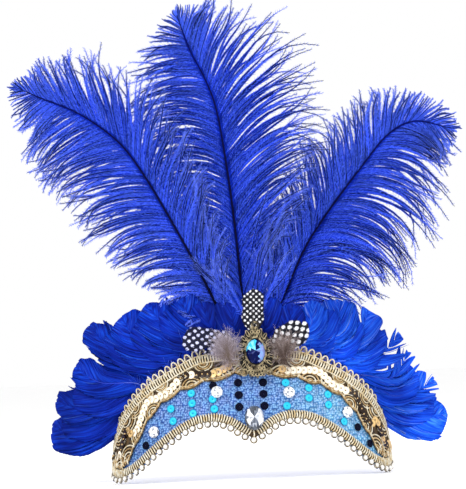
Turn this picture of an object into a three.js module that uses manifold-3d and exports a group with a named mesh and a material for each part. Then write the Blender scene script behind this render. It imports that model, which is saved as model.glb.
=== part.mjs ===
// Showgirl feather headdress: a crinkled blue arch edged with gold braid, set with sequins and
// stones, a bullion medallion at the centre, and fans of goose, guinea and ostrich feathers.
// Millimetres, +Z up, the wearer faces -Y. The origin is on the axis of the head, about level
// with the lowest beads of the arch.
import * as THREE from "three";
import { mergeVertices } from "three/addons/utils/BufferGeometryUtils.js";
import Module from "manifold-3d";

const wasm = await Module();
wasm.setup();

// Arch: half an ellipse in plan, leaning back as it rises
const HALF_WIDTH = 88;
const HALF_DEPTH = 58;
const LEAN_SIDE = 0.1;
const LEAN_FRONT = 0.22;
const WRAP = 88;
const ARCH_STEP = 5.5;
const CLOTH = 2;
const GAP = 0.3;

// Heights over the wrap angle: the foot of the cloth, the inside of the braid and its outside
const ARCH = [
  { at: 0, foot: 27.3, inside: 64.0, top: 75.8 },
  { at: 4, foot: 31.0, inside: 63.8, top: 75.8 },
  { at: 8, foot: 34.8, inside: 62.8, top: 75.7 },
  { at: 13, foot: 37.4, inside: 61.3, top: 75.4 },
  { at: 18, foot: 38.0, inside: 60.0, top: 74.8 },
  { at: 25, foot: 36.3, inside: 57.3, top: 73.0 },
  { at: 32, foot: 31.8, inside: 54.0, top: 68.6 },
  { at: 40, foot: 24.9, inside: 48.0, top: 63.4 },
  { at: 48, foot: 17.4, inside: 38.6, top: 58.0 },
  { at: 56, foot: 10.4, inside: 24.0, top: 51.6 },
  { at: 64, foot: 6.0, inside: 11.0, top: 44.0 },
  { at: 72, foot: 4.8, inside: 7.7, top: 35.8 },
  { at: 80, foot: 6.6, inside: 9.4, top: 26.5 },
  { at: 88, foot: 10.0, inside: 12.8, top: 18.0 },
];

// Braid on the upper edge, with its scallops and picot loops
const BRAID = 1.2;
const BRAID_CROWN = 0.5;
const SCALLOP_CUSPS = [0, 6.7, 20.5, 31.5, 41.5, 50, 58, 66, 74, 88];
const SCALLOP_DEPTH = 2.2;
const SCALLOP_STEPS = 3;
const PICOT_PITCH = 6.2;
const PICOT_REACH = 3.7;
const PICOT_ROOT = 0.7;
const PICOT_SHOULDER = 0.6;
const PICOT_WIRE = 0.8;

// Gimp on the lower edge, scalloped below by its bead loops
const GIMP = 4.3;
const GIMP_THICK = 1.4;
const BEAD_PITCH = 5.6;
const BEAD_LOOP = 3.4;
const BEAD_DIP = 0.6;

// Flat sequins and stones on the cloth
const SEQUIN_RADIUS = 2.5;
const SEQUIN_THICK = 0.5;
const SEQUINS = [
  { finish: "cyan", at: -36.4, height: 42.5 },
  { finish: "cyan", at: -35.2, height: 34.9 },
  { finish: "cyan", at: -26.4, height: 51.6 },
  { finish: "cyan", at: -26.0, height: 45.4 },
  { finish: "cyan", at: -25.6, height: 39.2 },
  { finish: "cyan", at: -16.7, height: 47.4 },
  { finish: "cyan", at: -16.0, height: 41.4 },
  { finish: "cyan", at: 15.0, height: 55.6 },
  { finish: "cyan", at: 14.8, height: 41.4 },
  { finish: "cyan", at: 25.4, height: 51.8 },
  { finish: "cyan", at: 25.0, height: 45.6 },
  { finish: "cyan", at: 34.6, height: 47.2 },
  { finish: "cyan", at: 34.3, height: 40.8 },
  { finish: "cyan", at: 41.8, height: 30.0 },
  { finish: "navy", at: -50.3, height: 20.4 },
  { finish: "navy", at: -16.4, height: 55.6 },
  { finish: "navy", at: -5.5, height: 56.8 },
  { finish: "navy", at: -5.4, height: 49.3 },
  { finish: "navy", at: -5.4, height: 42.0 },
  { finish: "navy", at: 5.2, height: 56.4 },
  { finish: "navy", at: 5.1, height: 49.3 },
  { finish: "navy", at: 5.2, height: 42.0 },
  { finish: "navy", at: 49.8, height: 26.0 },
  { finish: "navy", at: 57.0, height: 15.4 },
];
const RHINESTONE = { width: 7.6, height: 7.6, thick: 2.6 };
const RHINESTONES = [
  { at: -45.4, height: 28.4, seat: GAP },
  { at: -14.6, height: 51.6, seat: 2 * GAP + SEQUIN_THICK },
  { at: 16.0, height: 49.6, seat: 2 * GAP + SEQUIN_THICK },
  { at: 44.3, height: 35.6, seat: GAP },
];
const DROP_CRYSTAL = { width: 11.8, height: 15.5, thick: 4.4, at: 0.6, centre: 34.8 };

// Medallion: a bullion teardrop carried on the braid at the middle of the arch
const MEDALLION = { x: 3.6, height: 75.0, halfWidth: 11.0, halfHeight: 15.8, out: 4.2 };
const MEDALLION_SPOKES = 14;
const MEDALLION_TAPER = 0.16;
const MEDALLION_LOOP = { radius: 2.1, wire: 0.55, level: 1.1 };
const MEDALLION_STONE = { width: 11.6, height: 15.4, thick: 4.6 };
const STONE_SEAT = 1.2;

// Rings of the medallion's dish from its back to its seat: share of the outline, height, ridges
const MEDALLION_PROFILE = [
  { share: 0.94, level: 0, ridge: 0 },
  { share: 1, level: 0.8, ridge: 0.3 },
  { share: 0.9, level: 2.4, ridge: 0.3 },
  { share: 0.72, level: 1.7, ridge: 0.24 },
  { share: 0.66, level: 2.9, ridge: 0 },
  { share: 0.575, level: 2.9, ridge: 0 },
  { share: 0.575, level: STONE_SEAT, ridge: 0 },
];
const MEDALLION_EYES = [
  { x: 0.4, y: 17.0 },
  { x: -7.6, y: -12.6 },
  { x: 7.8, y: -12.6 },
];

// Quills: thickness, and how far behind the arch's edge they are sewn
const QUILL = 0.8;
const QUILL_SEWN = 8;
const QUILL_CLEAR = 8.5;
const BLADE_STATIONS = [0, 0.08, 0.25, 0.5, 0.75, 0.92, 1];
const BLADE_THICK = 0.55;
const BLADE_SPINE = 0.2;
const BLADE_OPENS = 0.3;
const BLADE_CLOSES = 0.5;
const BLADE_TIP = 0.6;

// Goose feathers: how they turn and bend, and the bare share of their quills
const GOOSE_TURN = 0.1;
const GOOSE_BARE = { side: 0.5, front: 0.3, sideFrom: 65 };
const GOOSE_CAMBER = 1.2;

// Their rows: the wrap angle of the root, then the middle and the tip of the quill
const GOOSE = [
  { name: "goose_left_1", at: -79, mid: [-106.4, -6, 28.8], tip: [-126.2, 3, 34.0], half: 12 },
  { name: "goose_left_2", at: -69, mid: [-103.0, -11, 43.9], tip: [-122.7, -3, 49.9], half: 11 },
  { name: "goose_left_3", at: -59, mid: [-94.5, -16, 60.7], tip: [-109.5, -9, 71.5], half: 11 },
  { name: "goose_left_4", at: -49, mid: [-85.8, -21, 81.1], tip: [-99.3, -15, 97.0], half: 10 },
  { name: "goose_left_5", at: -39, mid: [-70.4, -26, 86.6], tip: [-78.7, -21, 101.7], half: 12 },
  { name: "goose_left_6", at: -28, mid: [-51.8, -31, 93.3], tip: [-61.9, -27, 109.1], half: 12 },
  { name: "goose_left_7", at: -17, mid: [-35.9, -35, 97.6], tip: [-41.5, -32, 113.2], half: 10 },
  { name: "goose_right_1", at: 79, mid: [106.6, -6, 28.3], tip: [126.2, 3, 31.9], half: 12 },
  { name: "goose_right_2", at: 69, mid: [98.6, -11, 44.0], tip: [118.3, -3, 53.4], half: 11 },
  { name: "goose_right_3", at: 59, mid: [90.5, -16, 55.8], tip: [102.0, -9, 71.9], half: 9 },
  { name: "goose_right_4", at: 49, mid: [81.8, -21, 70.1], tip: [97.1, -15, 83.5], half: 11 },
  { name: "goose_right_5", at: 39, mid: [67.4, -26, 80.7], tip: [77.0, -21, 99.5], half: 12 },
  { name: "goose_right_6", at: 28, mid: [54.9, -31, 86.2], tip: [58.2, -27, 106.5], half: 11 },
  { name: "goose_right_7", at: 17, mid: [38.4, -35, 89.3], tip: [41.5, -32, 105.9], half: 8 },
];

// Guinea feathers, sewn between the braid and the medallion. They lean back with the arch up to
// the height GUINEA_LEANS and stand upright above it.
const GUINEA_BACK = 2.7;
const GUINEA_LEANS = 98;
const GUINEA_BARE = 0.12;
const GUINEA_CAMBER = 1;
const GUINEA_MID_LIFT = 0.4;
const GUINEA = [
  { name: "guinea_centre", root: [3.6, 82], mid: [3.2, 99], tip: [3.9, 114.6], half: 7, lift: 2 },
  { name: "guinea_left", root: [-3.5, 77], mid: [-20, 82], tip: [-41, 86.1], half: 8.5, lift: 4 },
  { name: "guinea_right", root: [10.5, 77], mid: [22, 82], tip: [37, 90.9], half: 8.5, lift: 4.5 },
];

// Down tufts: a small core and the locks that stand out of it, by direction and length
const DOWN_CORE = 2.2;
const DOWN_STAND = 7.4;
const DOWN = [
  { name: "down_left", x: -13.7, height: 76 },
  { name: "down_right", x: 20.6, height: 75 },
];
const DOWN_LOCK = { halves: [1.4, 2.6, 2.2, 0.4], thick: 1, steps: 3, curl: 15 };
const DOWN_DEPTHS = [0.6, -1.5];
const DOWN_LOCKS = [
  { angle: 50, reach: 12 },
  { angle: 90, reach: 14 },
  { angle: 130, reach: 13 },
  { angle: 175, reach: 11 },
  { angle: 225, reach: 9 },
  { angle: 270, reach: 11 },
  { angle: 330, reach: 7 },
];

// Ostrich plumes: the shaft from the arch to the tip, and the barbs of its two sides.
// along is the share of the shaft, reach the length of a barb, leave and end its direction
// from the shaft's own at the root and at the tip, in degrees.
const PLUME_SHAFT = { root: 1.3, tip: 0.35, stations: 14, sides: 6 };
const LOCKS = 11;
const LOCK = { root: 1.0, half: 8, outer: 0.85, thick: 0.9, tip: 0.7, steps: 4, full: 30 };
const VANE_START = 0.13;
const VANE_END = 0.985;
const VANE_FOOT = 0.16;
const BOW_FULL = 50;
const PLUME_SEWN = { foot: 16, rim: 1 };
const SEAT_CLEAR = 0.1;
const PLUMES = [
  {
    name: "plume_centre",
    at: -1,
    bow: 4,
    shaft: [
      [2.4, -36.5, 89.5], [-2.2, -26, 111.6], [-4.3, -18.5, 146.2], [-8.0, -11, 190.4],
      [-14.2, -10, 234.1], [-20.9, -12, 252.5], [-28.4, -16, 267.6], [-36.1, -25, 289.2],
    ],
    left: [
      { along: 0.13, reach: 44, leave: 24, end: 36 },
      { along: 0.35, reach: 60, leave: 36, end: 128 },
      { along: 0.6, reach: 68, leave: 42, end: 146 },
      { along: 0.75, reach: 56, leave: 46, end: 112 },
      { along: 0.88, reach: 33, leave: 54, end: 76 },
      { along: 0.95, reach: 15, leave: 45, end: 50 },
      { along: 1, reach: 4, leave: 10, end: 5 },
    ],
    right: [
      { along: 0.13, reach: 50, leave: 30, end: 36 },
      { along: 0.35, reach: 64, leave: 34, end: 72 },
      { along: 0.55, reach: 74, leave: 38, end: 94 },
      { along: 0.72, reach: 67, leave: 38, end: 78 },
      { along: 0.86, reach: 41, leave: 38, end: 54 },
      { along: 0.94, reach: 20, leave: 36, end: 42 },
      { along: 1, reach: 5, leave: 10, end: 15 },
    ],
  },
  {
    name: "plume_left",
    at: -7,
    bow: -3,
    shaft: [
      [-15.9, -30, 97.9], [-24.9, -30, 119.1], [-39.9, -31, 149.6], [-63.3, -28, 193.1],
      [-76.6, -26, 211.2], [-100.1, -21, 229.8], [-125.0, -17, 241.8], [-139.7, -17, 248.9],
    ],
    left: [
      { along: 0.13, reach: 26, leave: 45, end: 80 },
      { along: 0.3, reach: 44, leave: 48, end: 98 },
      { along: 0.45, reach: 54, leave: 50, end: 104 },
      { along: 0.6, reach: 57, leave: 54, end: 96 },
      { along: 0.74, reach: 50, leave: 56, end: 86 },
      { along: 0.87, reach: 32, leave: 56, end: 76 },
      { along: 0.94, reach: 17, leave: 46, end: 60 },
      { along: 1, reach: 4, leave: 20, end: 20 },
    ],
    right: [
      { along: 0.13, reach: 42, leave: 16, end: 22 },
      { along: 0.35, reach: 48, leave: 28, end: 58 },
      { along: 0.52, reach: 48, leave: 34, end: 62 },
      { along: 0.62, reach: 52, leave: 34, end: 40 },
      { along: 0.72, reach: 50, leave: 34, end: 32 },
      { along: 0.84, reach: 35, leave: 34, end: 38 },
      { along: 0.93, reach: 18, leave: 32, end: 38 },
      { along: 1, reach: 4, leave: 10, end: 15 },
    ],
  },
  {
    name: "plume_right",
    at: 7,
    bow: 4,
    shaft: [
      [11.2, -31, 86.1], [24.4, -18, 110.8], [38.6, -6, 138.9], [49.0, 0, 154.5],
      [76.8, 6, 189.3], [98.8, 10, 213.2], [113.8, 8, 219.5], [136.8, -2, 213.0],
    ],
    left: [
      { along: 0.13, reach: 52, leave: 26, end: 34 },
      { along: 0.3, reach: 52, leave: 30, end: 46 },
      { along: 0.5, reach: 50, leave: 32, end: 54 },
      { along: 0.66, reach: 45, leave: 32, end: 52 },
      { along: 0.82, reach: 27, leave: 38, end: 30 },
      { along: 0.93, reach: 16, leave: 42, end: 30 },
      { along: 1, reach: 6, leave: 15, end: 15 },
    ],
    right: [
      { along: 0.13, reach: 40, leave: 30, end: 110 },
      { along: 0.35, reach: 64, leave: 38, end: 125 },
      { along: 0.6, reach: 64, leave: 40, end: 126 },
      { along: 0.8, reach: 44, leave: 36, end: 96 },
      { along: 0.93, reach: 23, leave: 30, end: 58 },
      { along: 1, reach: 4, leave: 10, end: 15 },
    ],
  },
];

// Colours, roughness and metalness
const FINISHES = {
  lame: { color: 0x4a86d8, roughness: 0.4, metalness: 0.3 },
  gold: { color: 0xc9a66b, roughness: 0.35, metalness: 0.8 },
  bullion: { color: 0x8f7a4e, roughness: 0.4, metalness: 0.8 },
  cyan: { color: 0x20d0f0, roughness: 0.2, metalness: 0.5 },
  navy: { color: 0x0a0f3c, roughness: 0.2, metalness: 0.5 },
  crystal: { color: 0xdde4ee, roughness: 0.05, metalness: 0.1 },
  sapphire: { color: 0x0a2f9a, roughness: 0.05, metalness: 0.1 },
  goose: { color: 0x0f38c8, roughness: 0.7, metalness: 0 },
  ostrich: { color: 0x1c2fc8, roughness: 0.75, metalness: 0 },
  guinea: { color: 0x22242a, roughness: 0.7, metalness: 0 },
  down: { color: 0x9a8c8c, roughness: 0.9, metalness: 0 },
};

const model = new THREE.Group();

function addPart(name, geometry, finish) {
  geometry.computeVertexNormals();
  const mesh = new THREE.Mesh(geometry, new THREE.MeshStandardMaterial(FINISHES[finish]));
  mesh.name = name;
  model.add(mesh);
  return mesh;
}

const radians = THREE.MathUtils.degToRad;
const mix = THREE.MathUtils.lerp;

// The value of a table's column between its rows, on a curve through them
function lookup(table, key, column, x) {
  const last = table.length - 1;
  const i = Math.min(last - 1, Math.max(0, table.findIndex((row) => row[key] > x) - 1));
  const start = x >= table[last][key] ? last - 1 : i;
  const slope = (k) => {
    const a = table[Math.max(0, k - 1)];
    const b = table[Math.min(last, k + 1)];
    return (b[column] - a[column]) / (b[key] - a[key]);
  };
  const p = table[start];
  const q = table[start + 1];
  const span = q[key] - p[key];
  const t = (x - p[key]) / span;
  const rise = q[column] - p[column];
  const m0 = slope(start) * span;
  const m1 = slope(start + 1) * span;
  return p[column] + t * (m0 + t * (3 * rise - 2 * m0 - m1 + t * (m0 + m1 - 2 * rise)));
}

const archHeight = (column, at) => lookup(ARCH, "at", column, Math.abs(at));

// A point on the outer face of the arch, or off it by a distance
function wall(at, height, off = 0) {
  const a = HALF_WIDTH - LEAN_SIDE * height + off;
  const b = HALF_DEPTH - LEAN_FRONT * height + off;
  return new THREE.Vector3(a * Math.sin(radians(at)), -b * Math.cos(radians(at)), height);
}

// The directions along the arch, up it and out of it
function wallFrame(at, height) {
  const along = wall(at + 0.5, height).sub(wall(at - 0.5, height)).normalize();
  const up = wall(at, height + 0.5).sub(wall(at, height - 0.5)).normalize();
  const out = new THREE.Vector3().crossVectors(along, up).normalize();
  return { along, up: new THREE.Vector3().crossVectors(out, along), out };
}

// Puts a mesh made in the plane X, Y with its face to +Z on the arch
function placeOnWall(mesh, at, height, off) {
  const { along, up, out } = wallFrame(at, height);
  mesh.quaternion.setFromRotationMatrix(new THREE.Matrix4().makeBasis(along, up, out));
  mesh.position.copy(wall(at, height, off));
}

// A closed skin over a row of rings that have the same number of points
function loft(rings) {
  const count = rings[0].length;
  const last = rings.length - 1;
  const triangles = [];
  for (let i = 0; i < last; i++) {
    for (let j = 0; j < count; j++) {
      const a = i * count + j;
      const b = i * count + ((j + 1) % count);
      triangles.push(a, b, b + count, a, b + count, a + count);
    }
  }
  for (let j = 1; j < count - 1; j++) {
    triangles.push(0, j + 1, j, last * count, last * count + j, last * count + j + 1);
  }
  const points = rings.flat();
  let volume = 0;
  for (let i = 0; i < triangles.length; i += 3) {
    const [a, b, c] = [points[triangles[i]], points[triangles[i + 1]], points[triangles[i + 2]]];
    volume += a.dot(new THREE.Vector3().crossVectors(b, c));
  }
  if (volume < 0) triangles.reverse();
  const geometry = new THREE.BufferGeometry().setFromPoints(points);
  geometry.setIndex(triangles);
  return geometry;
}

function solidOf(geometry) {
  const bare = geometry.clone();
  bare.deleteAttribute("normal");
  bare.deleteAttribute("uv");
  const merged = mergeVertices(bare);
  const mesh = new wasm.Mesh({
    numProp: 3,
    vertProperties: new Float32Array(merged.attributes.position.array),
    triVerts: new Uint32Array(merged.index.array),
  });
  return new wasm.Manifold(mesh);
}

function geometryOf(solid) {
  const mesh = solid.getMesh();
  const geometry = new THREE.BufferGeometry();
  geometry.setAttribute("position", new THREE.BufferAttribute(mesh.vertProperties, 3));
  geometry.setIndex(new THREE.BufferAttribute(mesh.triVerts, 1));
  return geometry;
}

// A tapered round bar along a list of points
function bar(points, radii, sides) {
  const rings = points.map((point, i) => {
    const ahead = points[Math.min(i + 1, points.length - 1)];
    const behind = points[Math.max(i - 1, 0)];
    const tangent = ahead.clone().sub(behind).normalize();
    const side = new THREE.Vector3().crossVectors(tangent, new THREE.Vector3(0, 1, 0)).normalize();
    const other = new THREE.Vector3().crossVectors(side, tangent);
    return Array.from({ length: sides }, (_, k) => {
      const turn = (2 * Math.PI * k) / sides;
      return point
        .clone()
        .addScaledVector(side, radii[i] * Math.cos(turn))
        .addScaledVector(other, radii[i] * Math.sin(turn));
    });
  });
  return loft(rings);
}

// A strip that lies on the arch: one ring for each wrap angle, with a raised middle
function strip(angles, low, high, off, thick, crown) {
  const rings = angles.map((at) => {
    const bottom = low(at);
    const top = high(at);
    const middle = (bottom + top) / 2;
    return [
      wall(at, bottom, off),
      wall(at, bottom, off + thick),
      wall(at, middle, off + thick + crown),
      wall(at, top, off + thick),
      wall(at, top, off),
      wall(at, middle, off),
    ];
  });
  return loft(rings);
}

// How much longer a slanted strip is than the height across it
function slant(column, at) {
  const step = 0.5;
  const side = Math.min(WRAP - step, Math.max(-WRAP + step, at));
  const a = wall(side - step, archHeight(column, side - step));
  const b = wall(side + step, archHeight(column, side + step));
  return a.distanceTo(b) / Math.hypot(b.x - a.x, b.y - a.y);
}

const gimpFoot = (at) => archHeight("foot", at) - GIMP * slant("foot", at);

function makeBand() {
  const angles = [];
  for (let at = -WRAP; at <= WRAP; at += ARCH_STEP) angles.push(at);
  return strip(angles, gimpFoot, (at) => archHeight("top", at), -CLOTH, CLOTH, 0);
}

// The angles between two neighbouring cusps of the scalloped edge, on both sides
function scallopAngles() {
  const half = [];
  for (let i = 0; i < SCALLOP_CUSPS.length - 1; i++) {
    for (let k = 0; k < SCALLOP_STEPS; k++) {
      const at = mix(SCALLOP_CUSPS[i], SCALLOP_CUSPS[i + 1], k / SCALLOP_STEPS);
      half.push({ at, dip: SCALLOP_DEPTH * Math.sin((Math.PI * k) / SCALLOP_STEPS) });
    }
  }
  half.push({ at: WRAP, dip: 0 });
  const mirrored = half.slice(1).map(({ at, dip }) => ({ at: -at, dip }));
  return [...mirrored.reverse(), ...half];
}

// Places spaced evenly along an edge of the arch
function spaced(column, pitch) {
  const places = [];
  const step = 0.25;
  let travelled = pitch / 2;
  for (let at = 0; at < WRAP - 2; at += step) {
    const here = wall(at, archHeight(column, at));
    const next = wall(at + step, archHeight(column, at + step));
    travelled += here.distanceTo(next);
    if (travelled >= pitch) {
      travelled -= pitch;
      places.push(at, -at);
    }
  }
  return places;
}

// The direction along the arch's upper edge
function alongTop(at) {
  const step = 0.5;
  const ahead = wall(at + step, archHeight("top", at + step));
  const behind = wall(at - step, archHeight("top", at - step));
  return ahead.sub(behind).normalize();
}

// One picot: a wire loop that stands up from the edge, in the face of the arch
function picot(at) {
  const height = archHeight("top", at);
  const along = alongTop(at);
  const { out } = wallFrame(at, height);
  const across = new THREE.Vector3().crossVectors(out, along).normalize();
  const centre = wall(at, height, GAP + BRAID / 2);
  const half = PICOT_PITCH / 2 - PICOT_WIRE;
  const wire = PICOT_WIRE / 2;
  const route = [
    { u: -half, v: -PICOT_ROOT, inU: 1, inV: 0 },
    { u: -half * PICOT_SHOULDER, v: PICOT_REACH, inU: 1, inV: -1 },
    { u: half * PICOT_SHOULDER, v: PICOT_REACH, inU: -1, inV: -1 },
    { u: half, v: -PICOT_ROOT, inU: -1, inV: 0 },
  ];
  const corners = [[-wire, -wire], [wire, -wire], [wire, wire], [-wire, wire]];
  const rings = route.map(({ u, v, inU, inV }) => {
    const spot = centre.clone().addScaledVector(along, u).addScaledVector(across, v);
    const inward = along.clone().multiplyScalar(inU).addScaledVector(across, inV).normalize();
    return corners.map(([p, q]) =>
      spot.clone().addScaledVector(inward, p).addScaledVector(out, q));
  });
  return loft(rings);
}

function makeUpperTrim() {
  const scallops = scallopAngles();
  const rings = scallops.map(({ at, dip }) => {
    const low = archHeight("inside", at) - dip;
    const high = archHeight("top", at);
    const middle = (low + high) / 2;
    return [
      wall(at, low, GAP),
      wall(at, low, GAP + BRAID),
      wall(at, middle, GAP + BRAID + BRAID_CROWN),
      wall(at, high, GAP + BRAID),
      wall(at, high, GAP),
    ];
  });
  let solid = solidOf(loft(rings));
  for (const at of spaced("top", PICOT_PITCH)) solid = solid.add(solidOf(picot(at)));
  return geometryOf(solid);
}

// The gimp with its bead loops as a wavy foot: four angles for each loop
function makeLowerTrim() {
  const crests = spaced("foot", BEAD_PITCH).sort((a, b) => a - b);
  const stations = [{ at: -WRAP, drop: 0 }];
  crests.forEach((at, i) => {
    const next = crests[i + 1];
    stations.push({ at, drop: BEAD_LOOP });
    if (next === undefined) return;
    stations.push({ at: mix(at, next, 0.5), drop: BEAD_DIP });
  });
  stations.push({ at: WRAP, drop: 0 });
  const rings = stations.map(({ at, drop }) => {
    const lean = slant("foot", at);
    const top = archHeight("foot", at);
    const foot = top - GIMP * lean;
    const tip = foot - drop * lean;
    return [
      wall(at, top, GAP),
      wall(at, top, GAP + GIMP_THICK),
      wall(at, foot, GAP + GIMP_THICK),
      wall(at, tip, GAP + GIMP_THICK),
      wall(at, tip, GAP),
    ];
  });
  return loft(rings);
}

// A cut stone: a flat back, a pointed girdle, two rows of crown facets and an oval table
function cutStone({ width, height, thick }, facets) {
  const rows = [
    { share: 0.88, level: 0, turn: 0 },
    { share: 1, level: 0.3, turn: 0 },
    { share: 0.84, level: 0.72, turn: 0.5 },
    { share: 0.52, level: 1, turn: 0 },
  ];
  return loft(rows.map(({ share, level, turn }) =>
    Array.from({ length: facets }, (_, k) => {
      const angle = (2 * Math.PI * (k + turn)) / facets;
      return new THREE.Vector3(
        (width / 2) * share * Math.sin(angle),
        (height / 2) * share * Math.cos(angle),
        thick * level,
      );
    })));
}

// The bullion setting: a teardrop dish with radial ridges, a raised collar and three eyes
function makeSetting() {
  const columns = MEDALLION_SPOKES * 2;
  const rings = MEDALLION_PROFILE.map(({ share, level, ridge }) =>
    Array.from({ length: columns }, (_, k) => {
      const angle = (2 * Math.PI * k) / columns;
      const lobe = k % 2 ? -ridge : ridge;
      const taper = 1 - MEDALLION_TAPER * Math.max(0, Math.cos(angle)) ** 2;
      const x = (MEDALLION.halfWidth * share + lobe) * Math.sin(angle) * taper;
      const y = (MEDALLION.halfHeight * share + lobe) * Math.cos(angle);
      return new THREE.Vector3(x, y, level + lobe);
    }));
  let solid = solidOf(loft(rings));
  for (const { x, y } of MEDALLION_EYES) {
    const eye = new THREE.TorusGeometry(MEDALLION_LOOP.radius, MEDALLION_LOOP.wire, 6, 10);
    eye.translate(x, y, MEDALLION_LOOP.level);
    solid = solid.add(solidOf(eye));
  }
  return geometryOf(solid);
}

// The share of a blade's half width at a share of its vane
function bladeSwell(along) {
  if (along <= 0) return 0;
  const opens = Math.min(1, along / BLADE_OPENS) ** 0.7;
  const closes = Math.max(0, (along - BLADE_CLOSES) / (1 - BLADE_CLOSES)) ** 3;
  return opens * (1 - closes) ** 0.6;
}

// One feather blade: a cambered leaf along a quill, narrow where it is only the quill
function blade(points, half, bare, camber, facing) {
  const curve = new THREE.CatmullRomCurve3(points);
  const stations = [0, bare * 0.5, ...BLADE_STATIONS.map((t) => mix(bare, 1, t))];
  const rings = stations.map((t, i) => {
    const swell = bladeSwell((t - bare) / (1 - bare));
    const last = i === stations.length - 1;
    const wide = last ? QUILL * BLADE_TIP : Math.max(QUILL, half * swell);
    const leaf = Math.max(0, Math.min(1, (wide - QUILL) / QUILL));
    const tangent = curve.getTangent(t);
    const side = new THREE.Vector3().crossVectors(tangent, facing).normalize();
    const face = new THREE.Vector3().crossVectors(side, tangent).normalize();
    const at = curve.getPoint(t);
    const spine = mix(QUILL, BLADE_THICK + BLADE_SPINE, leaf);
    const body = mix(QUILL * 0.9, BLADE_THICK, leaf);
    const droop = camber * leaf * swell;
    const outline = [
      [-1, 0], [-0.5, body], [0, spine], [0.5, body],
      [1, 0], [0.5, -body], [0, -spine], [-0.5, -body],
    ];
    return outline.map(([u, v]) =>
      at.clone().addScaledVector(side, u * wide).addScaledVector(face, v - droop * u * u));
  });
  return loft(rings);
}

function makeGoose({ at, mid, tip, half }) {
  const top = archHeight("top", at);
  const seat = -CLOTH - GAP - QUILL - SEAT_CLEAR;
  const root = wall(at, top - QUILL_SEWN, seat);
  const edge = wall(at, top + QUILL_CLEAR, seat);
  const bare = Math.abs(at) > GOOSE_BARE.sideFrom ? GOOSE_BARE.side : GOOSE_BARE.front;
  const facing = new THREE.Vector3(Math.sin(radians(at)) * GOOSE_TURN, -1, 0.05).normalize();
  const points = [root, edge, new THREE.Vector3(...mid), new THREE.Vector3(...tip)];
  return blade(points, half, bare, GOOSE_CAMBER, facing);
}

function makeGuinea({ root, mid, tip, half, lift }) {
  const front = (height) => wall(0, Math.min(height, GUINEA_LEANS), GAP + GUINEA_BACK).y;
  const spot = ([x, height], out) => new THREE.Vector3(x, front(height) - out, height);
  const facing = new THREE.Vector3(0, -1, 0.1).normalize();
  const points = [spot(root, 0), spot(mid, lift * GUINEA_MID_LIFT), spot(tip, lift)];
  return blade(points, half, GUINEA_BARE, GUINEA_CAMBER, facing);
}

// A tapered lock: a diamond section carried along a route in the face of the feather
function lock(route, halves, thick) {
  const rings = route.map((point, i) => {
    const ahead = route[Math.min(i + 1, route.length - 1)];
    const behind = route[Math.max(i - 1, 0)];
    const tangent = ahead.clone().sub(behind).setY(0).normalize();
    const side = new THREE.Vector3(-tangent.z, 0, tangent.x);
    const deep = thick * Math.min(1, halves[i] / thick);
    return [[-1, 0], [0, -1], [1, 0], [0, 1]].map(([u, v]) => {
      const corner = point.clone().addScaledVector(side, u * halves[i]);
      return corner.setY(corner.y + v * deep);
    });
  });
  return loft(rings);
}

// The route of a barb: its direction turns evenly from where it leaves the shaft to its tip
function barbRoute(start, heading, side, { reach, leave, end }, bow, steps) {
  const route = [start.clone()];
  for (let k = 0; k < steps; k++) {
    const share = (k + 0.5) / steps;
    const angle = heading + side * radians(mix(leave, end, share));
    const ahead = new THREE.Vector3(Math.cos(angle), 0, Math.sin(angle));
    const point = route[k].clone().addScaledVector(ahead, reach / steps);
    point.y = start.y + bow * ((k + 1) / steps) ** 2;
    route.push(point);
  }
  return route;
}

// The row of a vane's table at a share of the shaft
function vaneRow(table, along) {
  return {
    reach: lookup(table, "along", "reach", along),
    leave: lookup(table, "along", "leave", along),
    end: lookup(table, "along", "end", along),
  };
}

function makePlume({ at, bow, shaft, left, right }) {
  const seat = -CLOTH - GAP - PLUME_SHAFT.root - SEAT_CLEAR;
  const rim = archHeight("top", at);
  const sewn = [wall(at, rim - PLUME_SEWN.foot, seat), wall(at, rim + PLUME_SEWN.rim, seat)];
  const free = shaft.map((point) => new THREE.Vector3(...point));
  const curve = new THREE.CatmullRomCurve3([...sewn, ...free]);
  const shares = Array.from({ length: PLUME_SHAFT.stations }, (_, k) => k / (PLUME_SHAFT.stations - 1));
  const spots = shares.map((share) => curve.getPointAt(share));
  const radii = shares.map((share) => mix(PLUME_SHAFT.root, PLUME_SHAFT.tip, share));
  let solid = solidOf(bar(spots, radii, PLUME_SHAFT.sides));
  for (const { table, side } of [{ table: left, side: 1 }, { table: right, side: -1 }]) {
    for (let k = 0; k < LOCKS; k++) {
      const along = mix(VANE_START, VANE_END, (k + 0.5) / LOCKS);
      const row = vaneRow(table, along);
      const share = mix(VANE_FOOT, 1, (along - VANE_START) / (1 - VANE_START));
      const tangent = curve.getTangentAt(share);
      const heading = Math.atan2(tangent.z, tangent.x);
      const depth = bow * Math.min(1, row.reach / BOW_FULL);
      const route = barbRoute(curve.getPointAt(share), heading, side, row, depth, LOCK.steps);
      const half = LOCK.half * Math.min(1, row.reach / LOCK.full);
      const halves = [LOCK.root, half, half * LOCK.outer, LOCK.tip];
      // The lock widens at once: the route's second point is passed over
      solid = solid.add(solidOf(lock([route[0], ...route.slice(2)], halves, LOCK.thick)));
    }
  }
  return geometryOf(solid);
}

function makeDown({ x, height }) {
  const y = wall(0, height, GAP + DOWN_STAND).y;
  const core = new THREE.Vector3(x, y, height);
  const ball = new THREE.SphereGeometry(DOWN_CORE, 6, 4);
  ball.translate(core.x, core.y, core.z);
  let solid = solidOf(ball);
  DOWN_LOCKS.forEach(({ angle, reach }, i) => {
    const turned = x < 0 ? angle : 180 - angle;
    const row = { reach, leave: turned, end: turned + DOWN_LOCK.curl };
    const route = barbRoute(core, 0, 1, row, DOWN_DEPTHS[i % 2], DOWN_LOCK.steps);
    solid = solid.add(solidOf(lock(route, DOWN_LOCK.halves, DOWN_LOCK.thick)));
  });
  return geometryOf(solid);
}

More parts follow.
